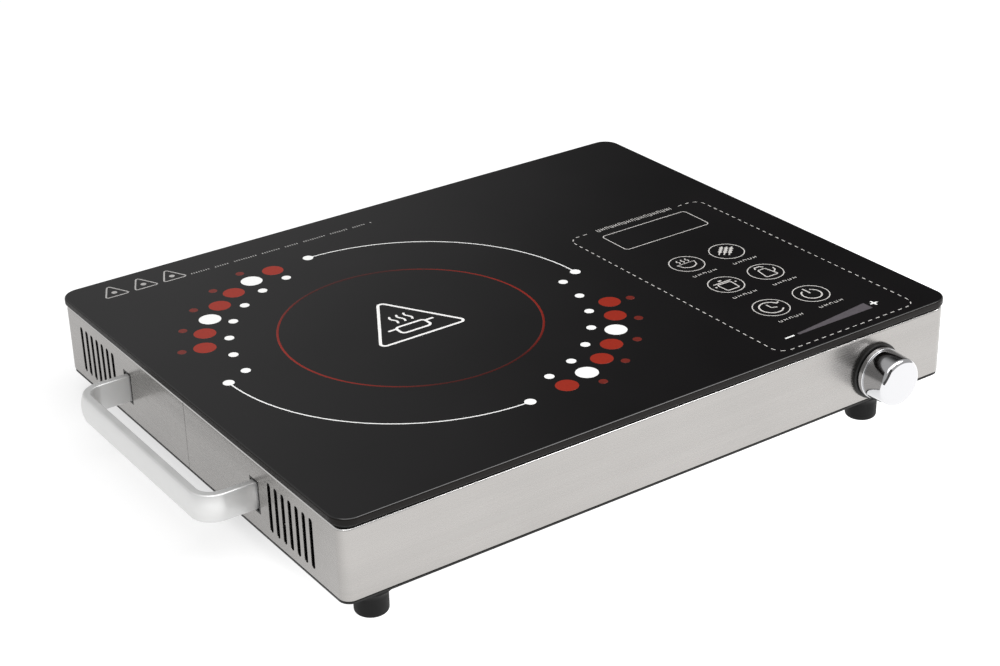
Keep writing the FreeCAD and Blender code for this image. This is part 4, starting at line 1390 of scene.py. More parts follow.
@dataclass
class RearMarks:
    """Three plain dotted triangles at the rear left, and small print that says nothing."""

    layout: Layout
    base: float = 276.0
    first: float = 16.5
    count: int = 3
    pitch: float = 17.5
    width: float = 14.5
    height: float = 14.5
    corner: float = 1.2
    line: float = 0.9
    dot: float = 1.6
    text_start: float = 69.0
    text_end: float = 188.0
    word_lengths: tuple[float, ...] = (12.0, 9.0, 15.0)
    word_gap: float = 3.0
    tick_pitch: float = 1.5
    tick_height: float = 1.4
    tick: float = 0.6

    def build(self, press: Press) -> None:
        """Print the triangles, a dot in each, and the small print.

        Args:
            press: The press to print with.
        """
        for i in range(self.count):
            left = self.first + self.pitch * i
            middle = left + self.width / 2
            corners = self.layout.run((left, self.base), (left + self.width, self.base),
                                      (middle, self.base + self.height))
            press.line(rounded_polygon(corners, self.corner * MM, 3), self.line * MM,
                       closed=True, share=0.9)
            press.dot(self.layout.at(middle, self.base + self.height / 3), self.dot * MM)
        self._small_print(press)
        press.finish("rear_marks", Ink.PALE.value)

    def _small_print(self, press: Press) -> None:
        """Print words of even upright ticks, their lengths repeating in turn.

        Args:
            press: The press to print with.
        """
        start, word = self.text_start, 0
        while start < self.text_end:
            end = min(start + self.word_lengths[word % len(self.word_lengths)], self.text_end)
            for i in range(int((end - start) / self.tick_pitch)):
                x = start + self.tick_pitch * i
                press.line(self.layout.run((x, self.base), (x, self.base + self.tick_height)),
                           self.tick * MM, share=0.6)
            start, word = end + self.word_gap, word + 1


@dataclass
class PanelPrint:
    """The touch panel's print: frame, display window, six keys and the level bar."""

    layout: Layout
    left: float = 262.0
    right: float = 358.0
    front: float = 4.0
    rear: float = 184.5
    corner: float = 7.0
    dash_pitch: float = 5.4
    dash: float = 2.6
    line: float = 0.6
    thin: float = 0.6
    key_radius: float = 10.0
    keys: tuple[Point, ...] = ((294.5, 117.5), (323.0, 117.0), (294.0, 83.5), (322.0, 83.0),
                               (294.0, 47.0), (322.5, 47.0))
    caption_half: float = 8.0
    caption_drop: float = 15.5
    caption_height: float = 1.6
    heading_half: float = 27.0
    heading_height: float = 3.0

    def build(self, press: Press) -> None:
        """Print the whole panel.

        Args:
            press: The press to print with.
        """
        self._frame(press)
        self._heading(press)
        self._display(press)
        for x, y in self.keys:
            press.line(arc(self.layout.at(x, y), self.key_radius * MM, 0.0, 352.5, 47),
                       self.thin * MM, closed=True, share=0.9)
        self._cooking_icons(press)
        self._clock_and_power(press)
        for x, y in self.keys:
            self._ticks(press, x - self.caption_half, x + self.caption_half,
                        y - self.caption_drop, self.caption_height)
        press.finish("panel_print", Ink.SOFT_WHITE.value)
        self._level_bar(press)

    def _frame(self, press: Press) -> None:
        """Print the dashed frame, open where the heading stands.

        Args:
            press: The press to print with.
        """
        outline = rounded_polygon(
            self.layout.run((self.left, self.front), (self.right, self.front),
                            (self.right, self.rear), (self.left, self.rear)),
            self.corner * MM, 8)
        middle_x = self.layout.at((self.left + self.right) / 2, 0.0).x
        gap = (self.heading_half + self.dash_pitch) * MM
        rear = self.layout.at(0.0, self.rear - 1.5).y
        for dash in walk(outline, self.dash_pitch * MM, self.dash * MM):
            middle = (dash[0] + dash[1]) / 2
            if middle.y > rear and abs(middle.x - middle_x) < gap:
                continue
            press.line(dash, self.line * MM, share=0.8)

    def _heading(self, press: Press) -> None:
        """Print one row of even ticks where the panel's heading stands.

        Args:
            press: The press to print with.
        """
        middle = (self.left + self.right) / 2
        self._ticks(press, middle - self.heading_half, middle + self.heading_half, self.rear,
                    self.heading_height)

    def _ticks(self, press: Press, left: float, right: float, y: float,
               height: float) -> None:
        """Print one word of even upright ticks.

        Args:
            press: The press to print with.
            left: Where the word starts.
            right: Where it ends.
            y: Its middle line.
            height: Height of the ticks.
        """
        pitch = 1.55
        count = max(2, round((right - left) / pitch))
        for i in range(count):
            x = left + (right - left) * i / (count - 1)
            low, high = y - height / 2, y + height / 2
            press.line(self.layout.run((x, low), (x, high)), 0.45 * MM, share=0.7)
            if i % 2 == 0 and i < count - 1:
                level = (low, y, high)[i // 2 % 3]
                press.line(self.layout.run((x, level), (x + pitch, level)), 0.4 * MM,
                           share=0.6)

    def _display(self, press: Press) -> None:
        """Print the outline of the display window.

        Args:
            press: The press to print with.
        """
        corners = self.layout.run((280.0, 153.0), (341.0, 153.0), (341.0, 176.5),
                                  (280.0, 176.5))
        press.line(rounded_polygon(corners, 2.5 * MM), self.thin * MM, closed=True,
                   share=0.9)

    def _cooking_icons(self, press: Press) -> None:
        """Print the bowl, the skewers, the pot and the kettle.

        Args:
            press: The press to print with.
        """
        run = self.layout.run
        press.line(run((288.5, 118.5), (290.0, 114.5), (293.0, 112.6), (296.0, 112.6),
                       (299.0, 114.5), (300.5, 118.5)), 0.8 * MM, closed=True, share=0.8)
        for x in (291.5, 294.5, 297.5):
            press.line(run((x, 119.6), (x + 0.9, 121.0), (x - 0.3, 122.3), (x + 0.6, 123.7)),
                       0.8 * MM, share=0.7)
        for shift in (-3.6, 0.0, 3.6):
            press.line(run((318.6 + shift * 0.6, 112.0 + 2.0 - shift * 0.5),
                           (327.2 + shift * 0.6, 120.8 + 1.0 - shift * 0.5)),
                       0.8 * MM, share=0.7)
            for t in (0.35, 0.58, 0.81):
                press.dot(self.layout.at(318.6 + shift * 0.6 + 8.6 * t,
                                         114.0 - shift * 0.5 + 7.8 * t), 1.15 * MM)
        pot = run((289.4, 85.4), (289.9, 77.0), (298.1, 77.0), (298.6, 85.4))
        press.line(rounded_polygon(pot, 1.0 * MM, 3), 0.8 * MM, closed=True, share=0.8)
        press.line(run((287.8, 86.8), (300.2, 86.8)), 0.9 * MM, share=0.7)
        press.line(run((292.9, 89.0), (295.1, 89.0)), 1.3 * MM, share=0.7)
        for side in (-1.0, 1.0):
            press.line(run((294.0 + side * 6.2, 83.6), (294.0 + side * 7.4, 83.6)), 1.2 * MM,
                       share=0.7)
        kettle = run((317.8, 77.2), (326.2, 77.2), (324.6, 86.6), (319.4, 86.6))
        press.line(rounded_polygon(kettle, 0.9 * MM, 3), 0.8 * MM, closed=True, share=0.8)
        press.line(run((325.6, 80.2), (328.4, 82.4), (329.0, 85.0)), 0.8 * MM, share=0.7)
        press.line(run((319.0, 88.2), (320.2, 90.2), (323.8, 90.2), (325.0, 88.2)), 1.0 * MM,
                   share=0.7)

    def _clock_and_power(self, press: Press) -> None:
        """Print the clock and the power sign.

        Args:
            press: The press to print with.
        """
        at, run = self.layout.at, self.layout.run
        press.line(arc(at(294.0, 47.0), 6.4 * MM, 20.0, 322.0, 40), 0.9 * MM, share=0.8)
        press.line(run((301.8, 50.3), (300.0, 49.2), (298.6, 51.2)), 1.0 * MM, share=0.8)
        press.line(run((294.0, 51.0), (294.0, 47.0), (297.2, 45.6)), 0.9 * MM, share=0.7)
        press.line(arc(at(322.5, 46.5), 5.5 * MM, 118.0, 422.0, 40), 0.9 * MM, share=0.8)
        press.line(run((322.5, 54.0), (322.5, 47.6)), 1.0 * MM, share=0.8)

    def _level_bar(self, press: Press) -> None:
        """Print the rising level bar and its minus and plus.

        Args:
            press: The press to print with.
        """
        press.line(self.layout.run((275.2, 15.0), (281.4, 15.0)), 1.2 * MM, share=0.8)
        press.line(self.layout.run((338.0, 18.0), (343.0, 18.0)), 1.1 * MM, share=0.8)
        press.line(self.layout.run((340.5, 15.5), (340.5, 20.5)), 1.1 * MM, share=0.7)
        press.finish("level_signs", Ink.WHITE.value)
        press.area(self.layout.run((284.0, 14.1), (336.0, 14.1), (336.0, 21.2),
                                   (284.0, 15.8)), share=0.8)
        press.finish("level_bar", Ink.GREY.value)


# ------------------------------------------------------------------ the housing
@dataclass
class SteelBand:
    """The folded stainless band with its vents and openings."""

    wall: float = 0.8 * MM
    corner: float = 6.0 * MM
    bend: float = 1.2 * MM
    flange: float = 5.8 * MM
    vent_width: float = 3.2 * MM
    vent_low: float = 5.6 * MM
    vent_drop: float = 6.3 * MM
    vent_pitch: float = 6.5 * MM
    vent_count: int = 7
    vent_starts: Point = (27.8 * MM, 236.5 * MM)
    arm_depth: float = 5.8 * MM
    nose_margin: float = 1.45 * MM
    bush_radius: float = 4.0 * MM
    gland_radius: float = 8.1 * MM
    seam_place: float = 153.0 * MM
    seam_width: float = 0.3 * MM
    seam_depth: float = 0.35 * MM
    edge_break: float = 0.12 * MM
    # Tilt range and finish of the painted highlight on the top bend: a far lighter steel
    # colour.
    highlight_tilt: Point = (0.25, 0.95)
    painted_highlight_finish: BrushedSteel = field(default_factory=lambda: BrushedSteel(
        "painted_bend_highlight", (0.78, 0.77, 0.76), 0.16))

    def build(self) -> None:
        """Fold the band, cut its openings, break its edges and paint a highlight on its top
        bend.
        """
        band = self._channel()
        for cutter in (self._vents(), self._arm_slots(), self._seam(), *self._round_holes()):
            carve(band, cutter)
        apply_modifier(band, "BEVEL", width=self.edge_break, segments=2,
                       limit_method="ANGLE", angle_limit=math.radians(50.0),
                       use_clamp_overlap=False)
        smooth(band, 35.0)
        hand_over(band, "housing", "steel_band", SLOT_FINISHES["steel_band"], "side_band")
        # The upward-tilted facets of the top bend get a far lighter, glossier steel: a painted
        # highlight along the band's top edge.
        band.data.materials.append(finish_of(self.painted_highlight_finish))
        bend_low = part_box("side_band")[1].z - self.bend
        least, most = self.highlight_tilt
        with editing(band, Elements.FACES):
            select_faces(band, lambda middle, normal:
                         middle.z > bend_low and least < normal.z < most)
            band.active_material_index = 1
            bpy.ops.object.material_slot_assign()

    def _channel(self) -> Piece:
        """The band's channel: an upright wall with a flange at top and bottom.

        Returns:
            The channel.
        """
        low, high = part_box("side_band")
        band = start_box("steel_band", low, high)
        bevel_edges(band, is_upright, self.corner, 12)
        bevel_edges(band, at_level(high.z), self.bend, 4)
        bevel_edges(band, at_level(low.z), self.bend, 4)
        with editing(band, Elements.FACES):
            for level in (high.z, low.z):
                bpy.ops.mesh.select_all(action="DESELECT")
                select_faces(band, lambda middle, normal: abs(middle.z - level) < TINY)
                bpy.ops.mesh.inset(thickness=self.flange - self.bend)
                bpy.ops.mesh.delete(type="FACE")
        apply_modifier(band, "SOLIDIFY", thickness=self.wall, offset=-1.0,
                       use_even_offset=True)
        return band

    def _vents(self) -> Piece:
        """Cutter for the two groups of upright vents.

        Returns:
            The cutter.
        """
        low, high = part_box("side_band")
        half = self.vent_width / 2
        first = start_box(
            "vent_cutter",
            Vector((low.x - MM, low.y - half, low.z + self.vent_low)),
            Vector((low.x + self.wall + 0.5 * MM, low.y + half, high.z - self.vent_drop)))
        bevel_edges(first,
                    lambda a, b: abs(a.y - b.y) < TINY and abs(a.z - b.z) < TINY,
                    half * 0.99, 8)
        cutters = [
            copy_piece(first, "vent_cutter", Matrix.Translation(
                (0.0, start + i * self.vent_pitch, 0.0)))
            for start in self.vent_starts for i in range(self.vent_count)]
        bpy.data.objects.remove(first)
        return join("vent_cutters", cutters)

    def _arm_slots(self) -> Piece:
        """Cutter for the two slots round the handle's arms.

        Returns:
            The cutter.
        """
        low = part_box("side_band")[0]
        bar_low, bar_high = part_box("handle_bar")
        margin = self.nose_margin
        cutters = []
        for y0, y1 in ((bar_low.y, bar_low.y + self.arm_depth),
                       (bar_high.y - self.arm_depth, bar_high.y)):
            cutters.append(start_box(
                "arm_cutter",
                Vector((low.x - MM, y0 - margin, bar_low.z - margin)),
                Vector((low.x + self.wall + 0.2 * MM, y1 + margin, bar_high.z + margin))))
        return join("arm_cutters", cutters)

    def _seam(self) -> Piece:
        """Cutter for the line where the band's two ends meet.

        Returns:
            The cutter.
        """
        low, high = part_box("side_band")
        y = low.y + self.seam_place
        half = self.seam_width / 2
        return start_box("seam_cutter", Vector((low.x - MM, y - half, low.z - MM)),
                         Vector((low.x + self.seam_depth, y + half, high.z + MM)))

    def _round_holes(self) -> list[Piece]:
        """Cutters for the knob's bush and the cord gland.

        Returns:
            The cutters.
        """
        low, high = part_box("side_band")
        knob, gland = middle_of("knob_bezel"), middle_of("cord_gland")
        return [
            start_rod("bush_cutter", self.bush_radius, Vector((knob.x, low.y - MM, knob.z)),
                      Vector((knob.x, low.y + self.wall + MM, knob.z)), 32),
            start_rod("gland_cutter", self.gland_radius,
                      Vector((gland.x, high.y - self.wall - MM, gland.z)),
                      Vector((gland.x, high.y + MM, gland.z)), 40)]


@dataclass
class PullHandle:
    """The aluminium bar handle, bent from one strip with a crowned outer side."""

    depth: float = 5.8 * MM
    crown: float = 1.6 * MM
    corner: float = 14.0 * MM
    edge_round: float = 0.7 * MM
    crown_steps: int = 12
    bend_steps: int = 20

    def build(self) -> None:
        """Draw the section and sweep it along arm, bend, grip, bend and arm."""
        low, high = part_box("handle_bar")
        bar = start_line("handle", self._section(low, high), closed=True)
        corner_x = low.x + self.corner
        with editing(bar, Elements.EDGES):
            bpy.ops.mesh.select_all(action="SELECT")
            self._run(Vector((corner_x - high.x, 0.0, 0.0)))
            self._bend(Vector((corner_x, low.y + self.corner, 0.0)))
            self._run(Vector((0.0, high.y - low.y - 2 * self.corner, 0.0)))
            self._bend(Vector((corner_x, high.y - self.corner, 0.0)))
            self._run(Vector((high.x - corner_x, 0.0, 0.0)))
            bpy.ops.mesh.edge_face_add()
            bpy.ops.mesh.select_all(action="DESELECT")
            select_edges(bar, self._first_end(low, high))
            bpy.ops.mesh.edge_face_add()
            tidy_shell()
        break_edges(bar, self.edge_round, 40.0, 4)
        smooth(bar, 30.0)
        hand_over(bar, "handle", "satin_aluminium", SLOT_FINISHES["satin_aluminium"],
                  "handle_bar")

    def _section(self, low: Vector, high: Vector) -> list[Vector]:
        """The bar's section at the end of its front arm.

        Args:
            low: Lowest corner of the handle's box.
            high: Highest corner of the handle's box.

        Returns:
            The corners of the section.
        """
        half = (high.z - low.z) / 2
        radius = (half ** 2 + self.crown ** 2) / (2 * self.crown)
        reach = math.asin(half / radius)
        middle = (low.z + high.z) / 2
        points = [Vector((high.x, low.y + self.depth, low.z)),
                  Vector((high.x, low.y + self.depth, high.z))]
        for i in range(self.crown_steps + 1):
            angle = reach - 2 * reach * i / self.crown_steps
            y = low.y + radius - radius * math.cos(angle)
            points.append(Vector((high.x, y, middle + radius * math.sin(angle))))
        return points

    def _first_end(self, low: Vector, high: Vector) -> Callable[[Vector, Vector], bool]:
        """A test for the open edges at the end of the front arm.

        Args:
            low: Lowest corner of the handle's box.
            high: Highest corner of the handle's box.

        Returns:
            The test, for select_edges.
        """
        limit = (low.y + high.y) / 2
        return lambda a, b: (abs(a.x - high.x) < TINY and abs(b.x - high.x) < TINY
                             and a.y < limit and b.y < limit)

    def _run(self, move: Vector) -> None:
        """Extrude the selected outline straight on."""
        bpy.ops.mesh.extrude_edges_move(TRANSFORM_OT_translate={"value": move})

    def _bend(self, centre: Vector) -> None:
        """Carry the selected outline round a quarter turn."""
        bpy.ops.mesh.spin(steps=self.bend_steps, angle=math.pi / 2, center=centre,
                          axis=Z_AXIS)


@dataclass
class ControlKnob:
    """The plated knob, its index filling and the ring that it stands on, made black as painted
    shade round the knob's base.
    """

    ring_radius: float = 14.2 * MM
    ring_length: float = 3.0 * MM
    groove: float = 0.7 * MM
    back_radius: float = 13.9 * MM
    front_radius: float = 13.3 * MM
    front_round: float = 2.6 * MM
    dome: float = 0.6 * MM
    cavity_radius: float = 11.5 * MM
    cavity_depth: float = 10.0 * MM
    hub_radius: float = 5.0 * MM
    hub_setback: float = 2.5 * MM
    index_angle: float = 146.0
    index_size: tuple[float, float, float] = (9.0 * MM, 1.2 * MM, 1.1 * MM)
    index_inset: float = 1.4 * MM
    bezel_rim: float = 2.4 * MM
    bezel_chamfer: float = 0.7 * MM
    bezel_floor: float = 1.0 * MM
    bezel_bore: float = 4.0 * MM

    def build(self) -> None:
        """Turn the knob and its ring, and cut the index into the knob's rim."""
        low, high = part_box("control_knob")
        back = Vector(((low.x + high.x) / 2, high.y, (low.z + high.z) / 2))
        knob = turned("knob", self._profile(high.y - low.y), back, -Y_AXIS, 96)
        filling = self._index_cutter(low, back)
        cutter = copy_piece(filling, "index_cutter", Matrix.Identity(4))
        apply_modifier(filling, "BOOLEAN", operation="INTERSECT", solver="EXACT", object=knob)
        filling.name = filling.data.name = "index_filling"
        carve(knob, cutter)
        smooth(knob, 32.0)
        smooth(filling, 32.0)
        hand_over(knob, "knob", "chrome", SLOT_FINISHES["chrome"], "control_knob")
        hand_over(filling, "knob", "index_ink", SLOT_FINISHES["index_ink"], "knob_index")
        self._bezel()
        dress_nodes("encoder_shaft", "encoder_body", "encoder_nut", "encoder_board")

    def _profile(self, length: float) -> list[Point]:
        """The knob's profile, from the bottom of its cavity round to its face.

        Args:
            length: Length of the knob along its axis.

        Returns:
            The points of the profile.
        """
        face = length - self.dome
        flat = self.front_radius - self.front_round
        ring_break = 0.5 * MM
        after_ring = self.ring_length + self.groove
        points = [(0.0, self.hub_setback), (self.hub_radius, self.hub_setback),
                  (self.hub_radius, self.cavity_depth),
                  (self.cavity_radius, self.cavity_depth), (self.cavity_radius, 0.0)]
        points += rounding((self.ring_radius - ring_break, ring_break), ring_break, -90, 0, 4)
        points += rounding((self.ring_radius - ring_break, self.ring_length - ring_break),
                           ring_break, 0, 90, 4)
        points += [(self.ring_radius - self.groove, self.ring_length),
                   (self.ring_radius - self.groove, after_ring - 0.2 * MM)]
        points += rounding((self.back_radius - 0.35 * MM, after_ring + 0.35 * MM), 0.35 * MM,
                           -90, 0, 4)
        points += rounding((flat, face - self.front_round), self.front_round, 0, 88, 12)
        for i in range(1, 11):
            share = i / 10
            points.append((flat * (1 - share), face + self.dome * (1 - (1 - share) ** 2)))
        points[-1] = (0.0, face + self.dome)
        return points

    def _index_cutter(self, low: Vector, back: Vector) -> Piece:
        """The bar that cuts the index across the knob's front rim.

        Args:
            low: Lowest corner of the knob's box.
            back: Middle of the knob's back.

        Returns:
            The bar.
        """
        angle = math.radians(self.index_angle)
        reach = self.front_radius - self.index_inset
        length, depth, width = self.index_size
        face = low.y + self.dome
        proud = 2 * MM
        bpy.ops.object.select_all(action="DESELECT")
        bpy.ops.mesh.primitive_cube_add(
            size=1.0,
            location=(back.x + reach * math.cos(angle), face + (depth - proud) / 2,
                      back.z + reach * math.sin(angle)),
            rotation=(0.0, -math.radians(self.index_angle - 90.0), 0.0),
            scale=(length, depth + proud, width))
        return settle(bpy.context.active_object, "index_filling")

    def _bezel(self) -> None:
        """Turn the dished ring behind the knob; its black finish is painted shade."""
        low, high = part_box("knob_bezel")
        radius = (high.x - low.x) / 2
        height = high.y - low.y
        centre = Vector(((low.x + high.x) / 2, high.y, (low.z + high.z) / 2))
        lip = radius - self.bezel_rim
        profile = [(self.bezel_bore, 0.0), (radius, 0.0)]
        profile += rounding((radius - self.bezel_chamfer, height - self.bezel_chamfer),
                            self.bezel_chamfer, 0, 90, 6)
        profile += [(lip + 0.2 * MM, height), (lip, height - 0.2 * MM),
                    (lip, self.bezel_floor + 0.1 * MM),
                    (lip - 0.1 * MM, self.bezel_floor), (self.bezel_bore, self.bezel_floor)]
        bezel = turned("knob_ring", profile, centre, -Y_AXIS, 96, closed=True)
        smooth(bezel, 32.0)
        # The ring gets the black plastic finish as painted shade: it stands for the dark
        # shadow and reflection round the knob's base.
        hand_over(bezel, "housing", "black_plastic", SLOT_FINISHES["black_plastic"],
                  "knob_bezel")


@dataclass
class Feet:
    """Four rubber feet, modelled once."""

    names: tuple[str, ...] = ("front_left", "front_right", "rear_left", "rear_right")
    flange_height: float = 1.5 * MM
    radius: float = 8.4 * MM
    straight: float = 9.5 * MM
    bottom_round: float = 1.6 * MM
    recess: float = 4.2 * MM
    recess_depth: float = 8.0 * MM
    bore: float = 1.7 * MM

    def build(self) -> None:
        """Turn one foot and copy it to the four places."""
        low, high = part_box(f"foot_{self.names[0]}")
        centre = Vector(((low.x + high.x) / 2, (low.y + high.y) / 2, low.z))
        first = turned("foot", self._profile((high.x - low.x) / 2, high.z - low.z), centre,
                       Z_AXIS, 64, closed=True)
        smooth(first, 35.0)
        for name in self.names:
            node = f"foot_{name}"
            move = Matrix.Translation(middle_of(node) - middle_of(f"foot_{self.names[0]}"))
            hand_over(copy_piece(first, f"rubber_{node}", move), "housing", "black_rubber",
                      SLOT_FINISHES["black_rubber"], node)
        bpy.data.objects.remove(first)
        dress_nodes("foot_screws")

    def _profile(self, flange: float, height: float) -> list[Point]:
        """The foot's profile, all the way round.

        Args:
            flange: Radius of the flange at the top.
            height: Height of the foot.

        Returns:
            The points of the profile.
        """
        soft = self.bottom_round
        points = [(self.recess + 0.4 * MM, 0.0)]
        points += rounding((self.radius - soft, soft), soft, -90, 0, 6)
        points.append((self.radius, self.straight))
        rise = height - self.flange_height - self.straight
        for i in range(1, 9):
            share = i / 8
            points.append((self.radius + (flange - self.radius - 0.2 * MM) * share ** 2,
                           self.straight + rise * share))
        points += [(flange, height - self.flange_height + 0.2 * MM), (flange, height),
                   (self.bore, height), (self.bore, self.recess_depth),
                   (self.recess, self.recess_depth), (self.recess, 0.4 * MM)]
        return points


@dataclass
class CordGland:
    """The bushing in the rear of the band where a mains cord goes in."""

    radius: float = 8.0 * MM
    bore: float = 3.6 * MM
    flange_thickness: float = 1.2 * MM
    edge: float = 0.4 * MM

    def build(self) -> None:
        """Turn the bushing, with a soft rim and a coned bore."""
        low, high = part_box("cord_gland")
        length = high.y - low.y
        flange = (high.x - low.x) / 2
        seat = length - self.flange_thickness
        centre = Vector(((low.x + high.x) / 2, low.y, (low.z + high.z) / 2))
        profile = [(self.bore, 0.0), (self.radius - self.edge, 0.0), (self.radius, self.edge)]
        profile += [(self.radius, seat), (flange, seat)]
        profile += rounding((flange - self.edge, length - self.edge), self.edge, 0, 90, 5)
        profile += rounding((self.bore + MM, length - MM), MM, 90, 180, 6)
        gland = turned("cord_bushing", profile, centre, Y_AXIS, 72, closed=True)
        smooth(gland, 35.0)
        hand_over(gland, "housing", "black_plastic", SLOT_FINISHES["black_plastic"],
                  "cord_gland")
        dress_nodes("gland_lock_ring", "mains_terminal")


@dataclass
class RatingPlate:
    """The blank foil plate under the base, with three plain ruled lines."""

    corner: float = 2.0 * MM
    rule_inset: float = 6.0 * MM
    rule_width: float = 0.6 * MM
    rule_rise: float = 0.03 * MM
    rule_shares: tuple[float, ...] = (0.25, 0.5, 0.75)

    def build(self) -> None:
        """Shape the plate and print its lines on the side that faces down."""
        low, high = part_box("rating_plate")
        plate = start_box("rating_foil", Vector((low.x, low.y, low.z + self.rule_rise)), high)
        bevel_edges(plate, is_upright, self.corner, 6)
        bevel_edges(plate, at_level(low.z + self.rule_rise), 0.1 * MM, 2)
        smooth(plate, 35.0)
        hand_over(plate, "housing", "label_aluminium", SLOT_FINISHES["label_aluminium"],
                  "rating_plate")
        rules = []
        for share in self.rule_shares:
            y = low.y + (high.y - low.y) * share
            rule = start_box("rule", Vector((low.x + self.rule_inset, y, low.z)),
                             Vector((high.x - self.rule_inset, y + self.rule_width,
                                     low.z + 2 * self.rule_rise)))
            bevel_edges(rule, is_upright, self.rule_width * 0.4, 2)
            rules.append(rule)
        lines = join("rating_rules", rules)
        hand_over(lines, "housing", "label_aluminium", SLOT_FINISHES["dark_component"])


@dataclass
class HousingShell:
    """The plastic parts of the housing whose shape needs no change."""

    parts: tuple[str, ...] = ("base_cover", "glass_frame", "handle_guide_front",
                              "handle_guide_rear", "handle_stops")

    def build(self) -> None:
        """Dress the base, the frame, the guides and their fixings."""
        dress_nodes(*self.parts)


# ------------------------------------------------------------------ the inside
@dataclass
class CoilAssembly:
    """The coil, its carrier, ferrites, insulation and temperature sensor."""

    parts: tuple[str, ...] = ("insulation_sheet", "coil_winding", "coil_carrier",
                              "ferrite_bars", "sensor_bush", "sensor_bead", "coil_leads",
                              "coil_terminals")

    def build(self) -> None:
        """Dress the parts of the coil."""
        dress_nodes(*self.parts)


@dataclass
class PanelAssembly:
    """The touch board, its pads, the display and the tray that carries them."""

    parts: tuple[str, ...] = ("touch_board", "touch_pads", "display_module",
                              "display_segments", "panel_tray", "panel_ribbon")

    def build(self) -> None:
        """Dress the parts of the panel."""
        dress_nodes(*self.parts)


@dataclass
class FanAssembly:
    """The cooling fan."""

    parts: tuple[str, ...] = ("fan_frame", "fan_stator", "fan_rotor", "fan_shaft")

    def build(self) -> None:
        """Dress the parts of the fan."""
        dress_nodes(*self.parts)


@dataclass
class PowerBoard:
    """The main board and what stands on it."""

    parts: tuple[str, ...] = ("main_board", "heatsink", "power_transistor",
                              "bridge_rectifier", "film_capacitors", "choke_core",
                              "choke_base", "electrolytic_cans", "supply_transformer",
                              "fuse", "fuse_clips", "board_headers")

    def build(self) -> None:
        """Dress the board, its components and every screw of the inside."""
        dress_nodes(*self.parts)
        dress_nodes(*(node for node in frame["nodes"]
                      if node.endswith("_screws") and node != "foot_screws"))


# ------------------------------------------------------------------ the studio
@dataclass
class Softbox:
    """One big soft light."""

    name: str
    place: tuple[float, float, float]
    aim: tuple[float, float, float]
    size: Point
    power: float

    def build(self) -> None:
        """Hang the light and turn it to its aim."""
        data = bpy.data.lights.new(self.name, "AREA")
        data.shape = "RECTANGLE"
        data.size, data.size_y = self.size
        data.energy = self.power
        light = bpy.data.objects.new(self.name, data)
        light.location = self.place
        run = Vector(self.aim) - Vector(self.place)
        light.rotation_euler = run.to_track_quat("-Z", "Y").to_euler()
        bpy.context.scene.collection.objects.link(light)


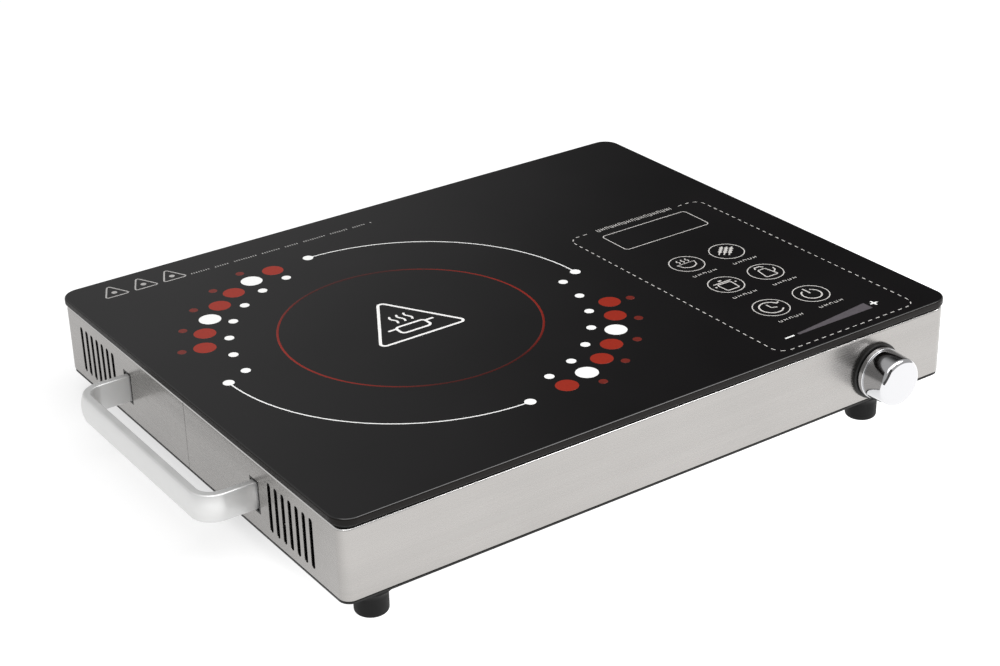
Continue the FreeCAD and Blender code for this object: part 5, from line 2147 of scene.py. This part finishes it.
@dataclass
class Studio:
    """A white floor, soft light, a pale room and the camera.

    The floor's own glow rises towards the front, and one sector of the room is dark, so
    that the glass looks black from the camera.
    """

    camera_place: tuple[float, float, float] = (-0.5422, -0.8111, 0.5288)
    azimuth: float = -34.1644
    elevation: float = 26.3535
    roll: float = -1.5805
    lens: float = 72.95
    sensor: float = 36.0
    near_clip: float = 0.01
    floor_reach: float = 14.0
    floor_drop: float = 0.1 * MM
    floor_tone: float = 0.40
    glow_rear: float = 0.66
    glow_front: float = 1.30
    glow_turn: tuple[float, float, float] = (0.25, -0.97, 0.0)
    room: float = 0.62
    dark_left: float = 0.30
    dark_right: float = 0.03
    dark_turn: Point = (-0.20, 0.14)
    dark_edge: Point = (0.78, 0.95)
    glow_span: Point = (-0.02, 0.14)
    lights: tuple[Softbox, ...] = (
        Softbox("overhead", (-0.15, -0.45, 1.5), (0.0, 0.0, 0.0), (1.6, 1.3), 16.0),
        Softbox("front_right", (0.85, -0.72, 1.25), (0.1, 0.0, 0.0), (0.8, 0.8), 10.0),
    )

    def build(self) -> None:
        """Set up the whole studio."""
        self._camera()
        self._floor()
        self._room()
        for light in self.lights:
            light.build()
        bpy.context.scene.view_settings.view_transform = "Standard"

    def _directions(self) -> tuple[Vector, Vector, Vector]:
        """The camera's directions, before its roll.

        Returns:
            Its right, up and back directions.
        """
        azimuth, elevation = math.radians(self.azimuth), math.radians(self.elevation)
        back = Vector((math.sin(azimuth) * math.cos(elevation),
                       -math.cos(azimuth) * math.cos(elevation), math.sin(elevation)))
        right = (-back).cross(Z_AXIS).normalized()
        return right, right.cross(-back), back

    def _camera(self) -> None:
        """Place the camera."""
        right, up, back = self._directions()
        roll = math.radians(self.roll)
        turned_right = right * math.cos(roll) + up * math.sin(roll)
        turned_up = up * math.cos(roll) - right * math.sin(roll)
        data = bpy.data.cameras.new("camera")
        data.lens = self.lens
        data.sensor_width = self.sensor
        data.clip_start = self.near_clip
        camera = bpy.data.objects.new("camera", data)
        turn = Matrix((turned_right, turned_up, back)).transposed().to_4x4()
        camera.matrix_world = Matrix.Translation(self.camera_place) @ turn
        bpy.context.scene.collection.objects.link(camera)
        bpy.context.scene.camera = camera

    def _floor(self) -> None:
        """Lay the floor, self-lit so that shadows stay pale."""
        bpy.ops.object.select_all(action="DESELECT")
        bpy.ops.mesh.primitive_plane_add(size=self.floor_reach,
                                         location=(0.0, 0.0, -self.floor_drop))
        floor = settle(bpy.context.active_object, "floor")
        recipe = Recipe("floor_paper")
        recipe.set(Roughness=0.85, Specular_IOR_Level=0.2, Emission_Color=(1.0, 1.0, 1.0))
        along = recipe.nodes.new("ShaderNodeVectorMath")
        along.operation = "DOT_PRODUCT"
        along.inputs[1].default_value = self.glow_turn
        recipe.links.new(recipe.place(), along.inputs[0])
        recipe.feed("Emission Strength",
                    recipe.remap(along.outputs["Value"], self.glow_rear, self.glow_front,
                                 *self.glow_span))
        tone = self.floor_tone
        fibres = recipe.noise(recipe.place(), 400.0, 3.0)
        recipe.feed("Base Color", recipe.blend(fibres, (tone * 0.985,) * 3, (tone,) * 3))
        floor.data.materials.append(recipe.material)

    def _room(self) -> None:
        """Paint the room: pale all round, and dark where the glass mirrors it."""
        right, _, back = self._directions()
        mirrored = Vector((-back.x, -back.y, back.z))
        world = bpy.data.worlds.new("room")
        world.use_nodes = True
        tree = world.node_tree
        background = tree.nodes["Background"]
        background.inputs["Color"].default_value = (1.0, 1.0, 1.0, 1.0)
        where = tree.nodes.new("ShaderNodeTexCoord").outputs["Generated"]

        def dot(direction: Vector) -> bpy.types.NodeSocket:
            """How much a ray runs along a direction.

            Args:
                direction: The direction.

            Returns:
                A value from -1 to 1.
            """
            node = tree.nodes.new("ShaderNodeVectorMath")
            node.operation = "DOT_PRODUCT"
            node.inputs[1].default_value = direction
            tree.links.new(where, node.inputs[0])
            return node.outputs["Value"]

        def spread(source: bpy.types.NodeSocket, start: float, end: float, low: object,
                   high: object) -> bpy.types.NodeSocket:
            """Stretch a value smoothly between two values.

            Args:
                source: The value.
                start: Where the range starts.
                end: Where it ends.
                low: Result at start, a number or a pattern.
                high: Result at end, a number or a pattern.

            Returns:
                The stretched value.
            """
            node = tree.nodes.new("ShaderNodeMapRange")
            node.interpolation_type = "SMOOTHSTEP"
            node.inputs["From Min"].default_value = start
            node.inputs["From Max"].default_value = end
            for socket, value in (("To Min", low), ("To Max", high)):
                if isinstance(value, float):
                    node.inputs[socket].default_value = value
                else:
                    tree.links.new(value, node.inputs[socket])
            tree.links.new(source, node.inputs["Value"])
            return node.outputs["Result"]

        dark = spread(dot(right), *self.dark_turn, self.dark_left, self.dark_right)
        level = spread(dot(mirrored), *self.dark_edge, self.room, dark)
        tree.links.new(level, background.inputs["Strength"])
        bpy.context.scene.world = world


def main() -> None:
    """Build the cooktop sub-assembly by sub-assembly, then the studio."""
    logging.basicConfig(level=logging.INFO, format="%(message)s")
    press, layout = Press(), Layout()
    GlassTop().build()
    ZonePrint().build(press)
    PanSign().build(press)
    RearMarks(layout).build(press)
    PanelPrint(layout).build(press)
    for assembly in (SteelBand(), PullHandle(), ControlKnob(), Feet(), CordGland(),
                     RatingPlate(), HousingShell(), CoilAssembly(), PanelAssembly(),
                     FanAssembly(), PowerBoard(), Studio()):
        LOG.info("building %s", type(assembly).__name__)
        assembly.build()
    undressed = [node for node, piece in frame["nodes"].items()
                 if not piece.hide_render
                 and not any(m and m.name in {f.name for f in _made.values()}
                             for m in piece.data.materials)]
    LOG.info("undressed parts: %s", undressed or "none")


if __name__ == "__main__":
    main()
